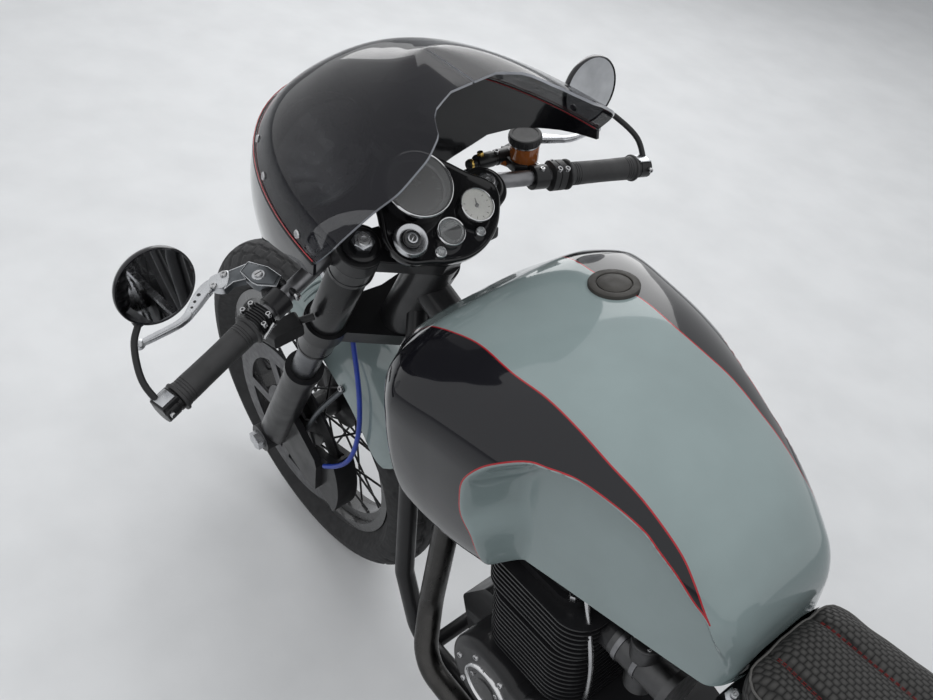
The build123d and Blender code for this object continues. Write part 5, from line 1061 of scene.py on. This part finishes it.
# Cable adjuster with its ribbed barrel and end ball
adjuster = [on_lever(-9.3, 35.9, -6), on_lever(-11.4, 71.3, -8)]
way = (adjuster[1] - adjuster[0]).normalized()
profile = [(3, -6), (3.4, 0)] + ribs([1 + k * 2.6 for k in range(9)], 5.2, 4.6, (1.6, 1.9, 2.4))
profile += [(3.4, 26), (3.4, 29)]
clutch.turned(adjuster[0], way, profile, "black_metal", 24)
end_ball = [(2.6, 0), (4.4, 1), (5, 3.4), (4.4, 6), (2.4, 7), (0, 7.2)]
clutch.turned(adjuster[0] + way * 29, way, end_ball, "steel_bright", 24)
# Clamp round the bar and the web from it to the perch
web = bar_clamp(clutch, inner, along) + front * 10 + top * 4
to_perch = [web, LEVER_AT + Vector((-20, 2, -14)), LEVER_AT + Vector((-4, 4, -8))]
clutch.tube(to_perch, [9, 9, 8], "black_metal", 16, flat=0.7)
clutch.done("steering", ["clutch_lever"], crease=35)

brake = Build("brake_lever_set")
inner_r, _, along_r, front_r, top_r = bar_frame(-1)
lever_body(brake, -1, "black_metal")
up_right = flip(up_lever, -1)
for a, b in (LEVER_PIVOT, *LEVER_SCREWS):
    screw = [(5.4, 0), (5.4, 2.4), (4.6, 3.2), (2, 3.2), (1.8, 2), (0, 2)]
    brake.turned(on_lever(a, b, -1.2, -1), up_right, screw, "steel_bright", 28)
web = bar_clamp(brake, inner_r, along_r)
for x, z in ((-6, 13), (8, 12)):
    brake.bolt(web + front_r * x + top_r * z, top_r, 3.6, 5)
to_perch = [web + front_r * 10 + top_r * 4, Vector((468, -203, 899)), Vector((484, -203, 903))]
brake.tube(to_perch, [9, 9, 8], "black_metal", 16, flat=0.7)
# Master cylinder, banjo fitting and the fluid pot with its cap
PUMP = Vector((488.0, -200.0, 907.0))
PUMP_END = PUMP + Vector((4, 70, 10))
way = (PUMP_END - PUMP).normalized()
brake.turned(PUMP, way, [
    (9, 0), (10.8, 1), (11, 20), (10, 21), (10, 26), (11, 27), (11, 52), (10, 54), (7, 55), (7, 66), (6, 68), (0, 68.4),
], "black_metal", 32)
brake.turned(PUMP_END - way * 10, way, [(7, 0), (7.4, 1), (7.4, 4), (6.4, 5), (4, 5.4), (0, 5.4)], "brass_gold", 24)
brake.bolt(PUMP + way * 46 + Vector((0, 0, 9)), (0.1, 0.1, 1), 5, 7, "brass_gold", 6)
brake.bolt(PUMP + way * 20 + Vector((-2, 0, 9)), (-0.1, 0.1, 1), 4, 5)
POT = Vector((466.0, -212.0, 898.0))
brake.turned(POT, (0, 0, 1), [
    (6, -2), (7, 4), (16, 6), (19.6, 9), (20.4, 12), (20.6, 36), (20.2, 37), (20.2, 38),
], "fluid_amber", 48)
brake.turned(POT, (0, 0, 1), [
    (20.6, 36.6), (21.4, 37), (21.4, 39.4), (22.8, 40), (23, 41), (23, 49), (22.2, 51), (20, 51.6), (18, 51.2),
    (17.4, 50.4), (0, 50.2),
], ["silver_alloy"] * 3 + ["black_plastic"] * 8, 48)
for k in range(24):
    angle = 2 * pi * k / 24
    rib = POT + Vector((cos(angle) * 22.8, sin(angle) * 22.8, 0))
    brake.tube([rib + Vector((0, 0, 41.4)), rib + Vector((0, 0, 48.6))], 0.7, "black_plastic", 6)
feed = [POT + Vector((0, 0, 2)), POT + Vector((8, 10, -2)), PUMP + Vector((2, 30, 8))]
brake.tube(curve_through(feed, 6), 5, "fluid_amber", 14)
brake.done("steering", ["brake_lever"], crease=35)

def pod_ring(grip, station, half_wide, half_high, shape):
    """Section of a switch pod round the bar, at a station along it."""
    inner, _, along, front, top = grip
    return [inner + along * station + front * x * half_wide + top * z * half_high for x, z in shape]


# Ribbed clamp on the left with its bolts, switch pod on the right
pods = Build("bar_switches")
rows = []
for k in range(25):
    half_size = 16.5 * (1.0 if (k // 2) % 2 == 0 else 0.86)
    rows.append(pod_ring(bar_frame(1), -26 + k * 22 / 24, half_size, half_size, rounded_square(32, 0.6)))
pods.grid(rows, "black_metal", caps=True)
for x, s, z in ((-14, -22, 9), (-17, -10, 5), (13, -20, 13), (15, -8, 12)):
    pods.bolt(inner + along * s + front * x + top * z, top, 3.6, 6)
pin = [inner - along * 22 - front * 17 - top * 2, inner - along * 2 - front * 19 - top * 8]
pods.tube(pin, [2.2, 2.6], "steel_bright", 12)
pods.grid([
    pod_ring(bar_frame(-1), station, 18 * size, 20 * size, rounded_square(36, 0.7))
    for station, size in ((-26, 0.9), (-25, 1), (-17, 1), (-16, 0.93), (-15, 1), (-5, 1), (-4, 0.9))
], "black_plastic", caps=True)
button = [(-5, -5), (6, -5), (6, 5), (-5, 5)]
button_at = inner_r - along_r * 15 - front_r * 4 + top_r * 18.8
pods.plate(button_at, front_r, along_r, button, 3, "silver_alloy", edge=0.8)
for x, s in ((-12, -20), (-13, -8), (8, -21)):
    pods.bolt(inner_r + along_r * s + front_r * x + top_r * 15, top_r - front_r * 0.4, 4, 5)
pods.done("steering", ["switch_blocks"], crease=35)


# ---------------------------------------------------------------- seat
SEAT_ROWS = [
    # station, base, top, half width, fall to the edge
    (-222.0, 738.0, 786.0, 84.0, 10.0), (-400.0, 738.0, 784.0, 104.0, 12.0), (-560.0, 742.0, 800.0, 118.0, 12.0),
    (-625.0, 744.0, 826.0, 116.0, 14.0),
]
SEAT_FRONT = -212.0
SEAT_BACK = -623.0
# Rise of the modelled skin over the table's heights, and the softness of the pad's front and side edges
SEAT_LIFT = 1.5
FRONT_EDGE = 26
SIDE_EDGE = 13
# Furthest that the cloth's pressure may move the skin, in metres
PUFF_LIMIT = 0.0042
# Depth and width of a seam's sharp crease and of the dip round it
SEAM_CREASE = (3.6, 2.6)
SEAM_DIP = (3.0, 11.0)
STITCH_PITCH = 6.6
# Sewn seams along the top: station, left seam, right seam
SEAMS = [(-222, 33, -37), (-330, 37, -41), (-450, 42, -46), (-625, 46, -50)]


def seat_half_width(x):
    width = pchip(SEAT_ROWS, 3, x) - 3
    into = SEAT_FRONT - x
    if into < FRONT_EDGE:
        width -= FRONT_EDGE - sqrt(max(0.0, FRONT_EDGE ** 2 - (FRONT_EDGE - into) ** 2))
    return width


def seat_top(x, y):
    """Height of the seat's skin before it is puffed up."""
    top, width, fall = pchip(SEAT_ROWS, 2, x), pchip(SEAT_ROWS, 3, x), pchip(SEAT_ROWS, 4, x)
    return top + SEAT_LIFT - fall * min(1.0, abs(y) / width) ** 2


seat = Build("seat_pad")
stations = [SEAT_FRONT - d for d in (0, 0.6, 2, 4, 7, 11, 16, 22)]
stations += [SEAT_FRONT - FRONT_EDGE - k * (SEAT_FRONT - SEAT_BACK - FRONT_EDGE) / 36 for k in range(37)]
rows = []
for x in stations:
    width = seat_half_width(x)
    base = pchip(SEAT_ROWS, 1, x) + 1
    front_drop = max(0.0, 9 - (SEAT_FRONT - x)) ** 2 * 0.11
    ring = []
    for k in range(25):
        y = width * (1 - k / 12)
        z = seat_top(x, y) - front_drop
        from_edge = width - abs(y)
        if from_edge < SIDE_EDGE:
            z -= SIDE_EDGE - sqrt(max(0.0, SIDE_EDGE ** 2 - (SIDE_EDGE - from_edge) ** 2))
        ring.append((x, y, z))
    side = ring[-1][2]
    down = [(x, -width - 0.5 * sin(pi * t), side + (base - side) * t) for t in (0.25, 0.5, 0.75, 0.97)]
    ring += down + [(x, -width + 6, base)] + [(x, width - 6, base)] + [(x, -p[1], p[2]) for p in reversed(down)]
    rows.append(ring)
seat.grid(rows, "seat_leather", caps=True)
mesh = bpy.data.meshes.new("seat_pad")
mesh.from_pydata([Vector(v) / 1000 for v in seat.verts], [], seat.faces)
pad = placed("seat_pad", mesh)

remesh = pad.modifiers.new("remesh", "REMESH")
remesh.mode = "VOXEL"
remesh.voxel_size = 0.0045
mesh = applied(pad)
before = [v.co.copy() for v in mesh.vertices]
cloth = pad.modifiers.new("cloth", "CLOTH")
cloth.settings.use_pressure = True
cloth.settings.uniform_pressure_force = 4.0
cloth.settings.effector_weights.gravity = 0.0
cloth.settings.quality = 4
cloth.point_cache.frame_start = 1
cloth.point_cache.frame_end = 20
for step in range(1, 21):
    bpy.context.scene.frame_set(step)
mesh = applied(pad)
bpy.context.scene.frame_set(1)
centre = sum(((v.co - co) for v, co in zip(mesh.vertices, before)), Vector()) / len(before)
for v, co in zip(mesh.vertices, before):
    move = v.co - co - centre
    if move.length > PUFF_LIMIT:
        move *= PUFF_LIMIT / move.length
    v.co = co + move
subdivide = pad.modifiers.new("subdivide", "SUBSURF")
subdivide.levels = 1
mesh = applied(pad)
for v in mesh.vertices:
    x, y, z = v.co * 1000
    if z < seat_top(x, y) - 16:
        continue
    sink = 0.0
    for column in (1, 2):
        gap = abs(y - pchip(SEAMS, column, x))
        sink += sum(depth * exp(-(gap / width) ** 2) for depth, width in (SEAM_CREASE, SEAM_DIP))
    v.co.z -= sink / 1000
pad_skin = BVHTree.FromPolygons([v.co * 1000 for v in mesh.vertices], [tuple(p.vertices) for p in mesh.polygons])
mesh.transform(PARK @ Matrix.Scale(1000, 4))
mesh.materials.clear()
mesh.materials.append(mats["seat_weave"])
mesh.shade_smooth()
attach(pad, "chassis")
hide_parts("seat")


def cast_on_pad(start, way, lift):
    """Where a straight line first meets the puffed pad, lifted off it a little."""
    spot, normal, _, _ = pad_skin.ray_cast(Vector(start), Vector(way))
    return spot + normal * lift if spot else None


def stitch_row(first_x, place, way, thickness):
    """Row of stitches towards the back; place gives each stitch's start for a station."""
    x = first_x
    while x > SEAT_BACK + 6:
        starts = place(x)
        run = [cast_on_pad((x + dx, *starts), way, lift) for dx, lift in ((0, 0.1), (-2.2, 0.5), (-4.4, 0.1))]
        if all(run):
            stitches.tube(run, thickness, "thread_red", 6)
        x -= STITCH_PITCH


# Stitches beside the seams and round the skirt, and the piping along the edges
stitches = Build("seat_stitching")
for column in (1, 2):
    for offset in (-1.3, 1.3):
        stitch_row(SEAT_FRONT - 16, lambda x: (pchip(SEAMS, column, x) + offset, 900), (0, 0, -1), 0.45)
for side in (1, -1):
    for fall in (24.0, 29.0):
        stitch_row(
            SEAT_FRONT - 30, lambda x: (side * 200, seat_top(x, seat_half_width(x)) - fall), (0, -side, 0), 0.42,
        )
stitches.done("chassis", crease=60)

piping = Build("seat_piping")
left = []
for k in range(70):
    x = SEAT_FRONT - 0.6 - (SEAT_FRONT - SEAT_BACK - 4) * (k / 69) ** 1.4
    width = seat_half_width(x)
    left.append(Vector((x + 5 * (k == 0), width + 5, seat_top(x, width) + 2)))
front_y = left[0].y - 5
ahead_line = [Vector((SEAT_FRONT + 6, front_y * (1 - k / 12), seat_top(SEAT_FRONT, 0))) for k in range(1, 24)]
snapped = []
for guide in [*reversed(left), *ahead_line, *(flip(p, -1) for p in left)]:
    spot, normal, _, _ = pad_skin.find_nearest(guide)
    if not snapped or (spot - snapped[-1]).length > 1.5:
        snapped.append(spot + normal * 0.3)
piping.tube(snapped, 1.5, "piping", 10)
piping.done("chassis", crease=60)
brackets = Build("seat_brackets")
for side in (1, -1):
    place = Vector((-222, side * 76, 738))
    tab = [(-9, -14), (9, -14), (9, 8), (5, 13), (-5, 13), (-9, 8)]
    brackets.plate(place, (0, 1, 0), (1, 0, 0.2), tab, 3, "silver_alloy", edge=0.6)
    brackets.bolt(place + Vector((4, 0, 3)), (0, 0, 1), 4.2, 4)
brackets.done("chassis")

# ---------------------------------------------------------------- front mudguard
FENDER_FRONT = 97.0
FENDER_REAR = 153.6
FENDER_HALF = 60
FENDER_EDGE = 285
FENDER_CROWN = 340
FENDER_SKIN = 3
FENDER_POWER = 2.6
fender = Build("front_mudguard")
rows = []
for k in range(80):
    theta = FENDER_FRONT + (FENDER_REAR - FENDER_FRONT) * k / 79
    near = min(theta - FENDER_FRONT, FENDER_REAR - theta)
    low = FENDER_EDGE + 26 * (1 - sqrt(max(0.0, 1 - (1 - min(1.0, near / 7)) ** 2)))
    c, s = cos(radians(theta)), sin(radians(theta))
    ring = []
    for skin, order in ((0, range(25)), (FENDER_SKIN, range(24, -1, -1))):
        for j in order:
            t = j / 24 * 2 - 1
            rise = max(0.0, 1 - abs(t) ** FENDER_POWER)
            radius = low + (FENDER_CROWN - skin - low) * rise ** 0.5
            ring.append(FRONT_AXLE + Vector((c * radius, (FENDER_HALF - skin) * t, s * radius)))
    rows.append(ring)
fender.grid(rows, "tank_paint", caps=True)
# Ridges across the front end, on the left
for k in range(5):
    theta = radians(98.5 + k * 1.9)
    c, s = cos(theta), sin(theta)
    line = []
    for j in range(9):
        t = 0.12 + 0.62 * j / 8
        radius = FENDER_EDGE + (FENDER_CROWN - FENDER_EDGE) * (1 - t ** FENDER_POWER) ** 0.5 + 1.0
        line.append(FRONT_AXLE + Vector((c * radius, FENDER_HALF * t, s * radius)))
    fender.tube(line, 2.6, "tank_paint", 8)
for side in (1, -1):
    stay_foot = steer(2, side * 76, 62)
    stay = [Vector((545, side * 61, 552)), Vector((604, side * 75, 458)), stay_foot]
    fender.tube(curve_through(stay, 8), 4.4, "perch_grey", 12)
    fender.tube([stay_foot, stay_foot + Vector((0, side * 8, 0))], 7, "perch_grey", 16)
    fender.bolt((547, side * 61, 553), (0, side, 0.3), 5, 5)
    mount = steer(FORK_OFFSET, side * 57, 262)
    fender.tube([mount, mount + Vector((0, side * 12, 0))], 8, "perch_grey", 20)
fender.done("steering", ["front_fender"], crease=40)

# ---------------------------------------------------------------- fork dress
fork = Build("fork_shrouds")
for side in (1, -1):
    fork.turned(fork_foot(side), STEER_UP, [
        (20.9, 392.3), (26, 392.4), (27, 393.4), (27, 397), (25.6, 398), (25.6, 401), (27, 402), (27, 450.5),
        (26, 451.6), (20.9, 451.7),
    ], "black_satin", 48)
    fork.turned(fork_foot(side), STEER_UP, [
        (20.9, 484.4), (26, 484.5), (27, 485.5), (27, 635), (26, 636.6), (20.9, 636.7),
    ], "black_satin", 48)
fork.done("steering", ["fork_covers"], crease=40)

clips = Build("clip_on_bars")
for side in (1, -1):
    inner_end, outer_end, along_bar, _, _ = bar_frame(side)
    root = inner_end - along_bar * ((GRIP_INNER.y - FORK_SPAN + 2) / abs(along_bar.y))
    clips.tube([root, inner_end, outer_end + along_bar * 11], 11, "bar_grey", 28)
    clips.turned(fork_foot(side), STEER_UP, [
        (20.9, 637.2), (29, 637.3), (30.5, 638.8), (30.5, 645), (29.6, 646), (29.6, 663), (30.5, 664), (30.5, 670),
        (29, 671.6), (20.9, 671.7),
    ], "black_satin", 48)
    block = steer(FORK_OFFSET + 28, side * FORK_SPAN, 654)
    for shift in (-8, 8):
        spot = block + STEER_UP * shift + STEER_FORWARD * 6 + Vector((0, side * 8, 0))
        clips.bolt(spot, (0, side, 0), 4, 6)
    clips.plate(block - STEER_UP * 16, STEER_FORWARD, Vector((0, 1, 0)), [
        (-14, -16), (14, -16), (16, -12), (16, 12), (14, 16), (-14, 16),
    ], 32, "black_satin", edge=2)
clips.done("steering", ["clip_ons"], crease=40)

FORK_TOP = (
    ([(22.5, 698.4), (24, 699), (24, 703), (22, 704.6), (19, 705), (17, 704.4)], "black_satin", 40),
    ([(13, 700), (13, 711.6), (12.2, 712.8), (9, 713.4)], "silver_alloy", 6),
    ([(8.6, 712), (8.6, 715), (7.6, 716), (4.4, 716.2), (4, 714.6), (0, 714.4)], "steel_bright", 32),
)
caps = Build("fork_tops")
for side in (1, -1):
    for profile, mat, segments in FORK_TOP:
        caps.turned(fork_foot(side), STEER_UP, profile, mat, segments)
stem = steer(0, 0, 698)
caps.turned(stem, STEER_UP, [(22, 0.2), (24, 0.8), (24, 3), (22, 4)], "silver_alloy", 40)
caps.done("steering", crease=35)

# ---------------------------------------------------------------- brake hose
HOSE_POINTS = [
    (578, 89, 356), (540, 88, 388), (502, 82, 440), (486, 74, 510), (484, 70, 580), (492, 66, 640), (504, 62, 690),
]
hose_data = bpy.data.curves.new("brake_line", "CURVE")
hose_data.dimensions = "3D"
hose_data.bevel_depth = 0.004
hose_data.bevel_resolution = 6
hose_data.use_fill_caps = True
hose_data.resolution_u = 16
spline = hose_data.splines.new("NURBS")
spline.points.add(len(HOSE_POINTS) - 1)
for point, place in zip(spline.points, HOSE_POINTS):
    point.co = (*(PARK @ Vector(place)), 1)
spline.order_u = 3
spline.use_endpoint_u = True
hose_data.materials.append(mats["hose_blue"])
hose = placed("brake_line", hose_data)
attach(hose, "steering")
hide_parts("brake_hose")

# ---------------------------------------------------------------- tyres
RIM_LIP = 240.6
BEAD_SEAT = 228.9
LINER = 244.6
TREAD_STEPS = 400
TREAD_EDGE = 1.08
for tyre_name, node, body, axle, crown, rim_half, grooves in (
    ("front_tyre_tread", "front_tyre", "front_wheel", FRONT_AXLE, 50.0, 27.0, (-30, -11, 11, 30)),
    ("rear_tyre_tread", "rear_tyre", "rear_wheel", REAR_AXLE, 65.0, 42.0, (-42, -24, -8, 8, 24, 42)),
):
    middle = TYRE_RADIUS - crown
    bead, inner_wall = rim_half - 0.3, crown - 7
    tyre = Build(tyre_name)
    rows = []
    for step in range(TREAD_STEPS):
        turn = 2 * pi * step / TREAD_STEPS
        zig = 2.2 * (1 if (step // 5) % 2 else -1)
        ring = [(BEAD_SEAT, -bead), (RIM_LIP, -bead)]
        for k in range(57):
            angle = -pi / 2 + pi * k / 56
            cut = 0.0
            arc = angle * crown
            if abs(angle) < TREAD_EDGE:
                # Zigzag grooves round the tread, and slots across its shoulders
                if any(abs(arc - groove - zig) < 2.0 for groove in grooves):
                    cut = 2.6
                shift = 5 if arc > 0 else 0
                if abs(arc) > 31 and (step + shift) % 10 in (0, 1):
                    cut = 2.4
                if 11 < abs(arc) < 31 and (step + shift + 4) % 10 == 0:
                    cut = 2.2
            ring.append((middle + (crown - cut) * cos(angle), (crown - cut) * sin(angle)))
        ring += [(RIM_LIP, bead), (BEAD_SEAT, bead), (BEAD_SEAT, bead - 10), (LINER, bead - 10)]
        for k in range(13):
            angle = pi / 2 - pi * k / 12
            ring.append((middle + inner_wall * cos(angle), inner_wall * sin(angle)))
        ring += [(LINER, -bead + 10), (BEAD_SEAT, -bead + 10)]
        rows.append([axle + Vector((cos(turn) * r, y, sin(turn) * r)) for r, y in ring])
    tyre.grid(rows, "tyre", wrap=True)
    tyre.done(body, [node], crease=32)


# ---------------------------------------------------------------- pinstripe along the screen's foot
SCREEN_FOOT_REAR = 334
nose, width = screen_size(0)
stripe = Build("screen_pinstripe")
for inset, rise in ((-0.2, 3.0), (4.6, 1.6)):
    line = [(x, y, SCREEN_BASE + rise) for x, y in bubble_row(nose - inset, width - inset, SCREEN_FOOT_REAR)]
    stripe.tube(line[::2], 0.7, "stripe_red", 8)
stripe.done("steering", crease=60)
beading = Build("screen_beading")
line = [(x, y, SCREEN_BASE - 1.0) for x, y in bubble_row(653.6, 212.6, SCREEN_FOOT_REAR)]
beading.tube(line[::2], 1.5, "black_satin", 10)
beading.done("steering", crease=60)

# ---------------------------------------------------------------- engine dress
ENGINE_HALF = 72.3 + 66
# Round covers: place, radius and bolts, with the crank end's first and the clutch's after it
COVERS = ((96, 368, 82, 7), (-14, 390, 62, 5))
engine = Build("engine_fasteners")
for side in (1, -1):
    face = side * ENGINE_HALF
    outward = (0, side, 0)
    for (at_x, at_z, radius, count), (other_x, other_z, other_radius, _) in (COVERS, COVERS[::-1]):
        for k in range(count):
            angle = 2 * pi * (k + 0.3) / count
            x, z = at_x + cos(angle) * (radius - 22), at_z + sin(angle) * (radius - 22)
            if sqrt((x - other_x) ** 2 + (z - other_z) ** 2) >= other_radius - 14:
                engine.bolt((x, face - side * 1.5, z), outward, 4.6, 5.5)
    (crank_x, crank_z), (clutch_x, clutch_z) = (cover[:2] for cover in COVERS)
    # Ribbed round cover with a polished rim over the crank end
    engine.turned((crank_x, face - side, crank_z), outward, [
        (44, 0), (44, 4), (42.6, 6), (40, 6.4), (38.6, 5), (38, 3), (20, 3), (18, 4.6), (8, 5), (0, 5),
    ], ["chrome"] * 5 + ["black_satin"] * 4, 56)
    for k in range(3):
        angle = 2 * pi * k / 3 + 0.4
        spot = Vector((crank_x + cos(angle) * 29, face + side * 1.6, crank_z + sin(angle) * 29))
        engine.bolt(spot, outward, 3.6, 3.6)
    engine.turned((clutch_x, face - side, clutch_z), outward, [
        (30, 0), (30, 3), (28, 4.6), (12, 5), (11, 6.4), (0, 6.6),
    ], ["silver_alloy"] * 5, 48)
for x in (14, 90):
    for y in (-88, -30, 30, 88):
        engine.bolt((x, y, 706 - abs(y) * 0.02), (0, 0, 1), 6, 6, sides=6)
for side in (1, -1):
    for x in (104, 0):
        engine.bolt((x + 4, side * 92, 668), (0, 0, 1), 6.5, 9, sides=6)
    # Oil pipe up to the rocker box
    oil = [(-20, 70, 452), (-44, 96, 500), (-46, 100, 590), (-16, 90, 676), (14, 74, 700)]
    engine.tube(curve_through([flip(place, side) for place in oil], 8), 3.4, "steel_bright", 12)
    union = [(6, 0), (7, 1), (7, 8), (6, 9), (0, 9)]
    for place in (oil[0], oil[-1]):
        engine.turned(flip(place, side) - Vector((0, 0, 4)), (0, 0, 1), union, "steel_bright", 6)
    # Fuel line and tap under the tank
    fuel = [(-30, 56, 734), (-52, 66, 716), (-78, 66, 690), (-92, 62, 668)]
    engine.tube(curve_through([flip(place, side) for place in fuel], 8), 4.2, "black_plastic", 12)
engine.done("chassis", crease=35)

carbs = Build("carburettor_dress")
for side in (1, -1):
    place = Vector((-92, side * 62, 624))
    carbs.turned(place + Vector((0, 0, 43)), (0, 0, 1), [
        (20.4, 0), (21, 1), (21, 5), (19.4, 6), (9, 6.4), (8.6, 12), (7, 14), (0, 14),
    ], "carb_dark", 32)
    for k in range(4):
        angle = pi / 4 + pi / 2 * k
        carbs.bolt(place + Vector((cos(angle) * 16, sin(angle) * 16, 49)), (0, 0, 1), 2.4, 2.4)
    for shift in (8, 38):
        carbs.turned(place + Vector((40 - shift, 0, 0)), (-1, 0, 0), [
            (24.3, 0), (25.6, 0.6), (25.6, 7), (24.3, 7.6),
        ], "bar_grey", 40)
carbs.done("chassis", crease=35)


# ---------------------------------------------------------------- camera, floor and light
# The camera is the one solved from the photograph
cam_data = bpy.data.cameras.new("camera")
cam = placed("camera", cam_data)
right = Vector((-0.6267, -0.7625, 0.1608))
down = Vector((-0.5601, 0.2973, -0.7733))
ahead = Vector((0.5418, -0.5747, -0.6133))
turn = Matrix((right, -down, -ahead)).transposed().to_4x4()
cam.matrix_world = Matrix.Translation((-0.482, 0.9970, 1.6762)) @ turn
cam_data.lens = 43.76
cam_data.sensor_width = 36
cam_data.clip_start = 0.01
bpy.context.scene.camera = cam

world = bpy.data.worlds.new("studio")
bpy.context.scene.world = world
world.use_nodes = True
sky = world.node_tree.nodes
sky_links = world.node_tree.links
# A dim sky lights the bike, and a brighter one is what the camera, mirrors and glass see
lit = sky["Background"]
seen = sky.new("ShaderNodeBackground")
for background, colour, strength in ((lit, (0.9, 0.92, 0.95, 1), 0.35), (seen, (0.86, 0.87, 0.88, 1), 1.0)):
    background.inputs[0].default_value = colour
    background.inputs[1].default_value = strength
rays = sky.new("ShaderNodeLightPath")
direct = rays.outputs["Is Camera Ray"]
for kind in ("Is Glossy Ray", "Is Transmission Ray"):
    either = sky.new("ShaderNodeMath")
    either.operation = "MAXIMUM"
    sky_links.new(direct, either.inputs[0])
    sky_links.new(rays.outputs[kind], either.inputs[1])
    direct = either.outputs[0]
swap = sky.new("ShaderNodeMixShader")
for source, socket in zip((direct, lit.outputs[0], seen.outputs[0]), swap.inputs):
    sky_links.new(source, socket)
sky_links.new(swap.outputs[0], sky["World Output"].inputs[0])

FLOOR_SIZE = 9.0
floor_mesh = bpy.data.meshes.new("floor")
corners = [(x * FLOOR_SIZE, y * FLOOR_SIZE, 0) for x, y in ((-1, -1), (1, -1), (1, 1), (-1, 1))]
floor_mesh.from_pydata(corners, [], [(0, 1, 2, 3)])
floor_obj = placed("floor", floor_mesh)
floor_mat = Shade("floor", (0.62, 0.63, 0.64), 0.75)
floor_mat.mottled((0.6, 0.61, 0.62), (0.64, 0.65, 0.66), 6, 0.7, 0.85)
floor_mesh.materials.append(floor_mat.mat)
floor_obj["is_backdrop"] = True


def area_light(name, place, aim, size, power, mirrored=True):
    data = bpy.data.lights.new(name, "AREA")
    data.shape = "RECTANGLE"
    data.size, data.size_y = size
    data.energy = power
    obj = placed(name, data)
    way = Vector(aim) - Vector(place)
    obj.matrix_world = Matrix.Translation(place) @ way.to_track_quat("-Z", "Y").to_matrix().to_4x4()
    obj.visible_glossy = mirrored


# The paint would mirror the key and top lamps as hard white panels, so only the rim lamp is mirrored
area_light("key", (-0.6, 2.6, 3.4), (0, 0, 0.7), (5.0, 4.0), 118, mirrored=False)
area_light("top", (0.4, -0.8, 3.8), (0.1, 0, 0.8), (4.5, 3.0), 66, mirrored=False)
area_light("rim", (2.8, -2.0, 2.2), (0.3, 0, 0.7), (3.0, 2.6), 50)

# ---------------------------------------------------------------- done
low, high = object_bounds()
bpy.context.scene.view_settings.view_transform = "Standard"
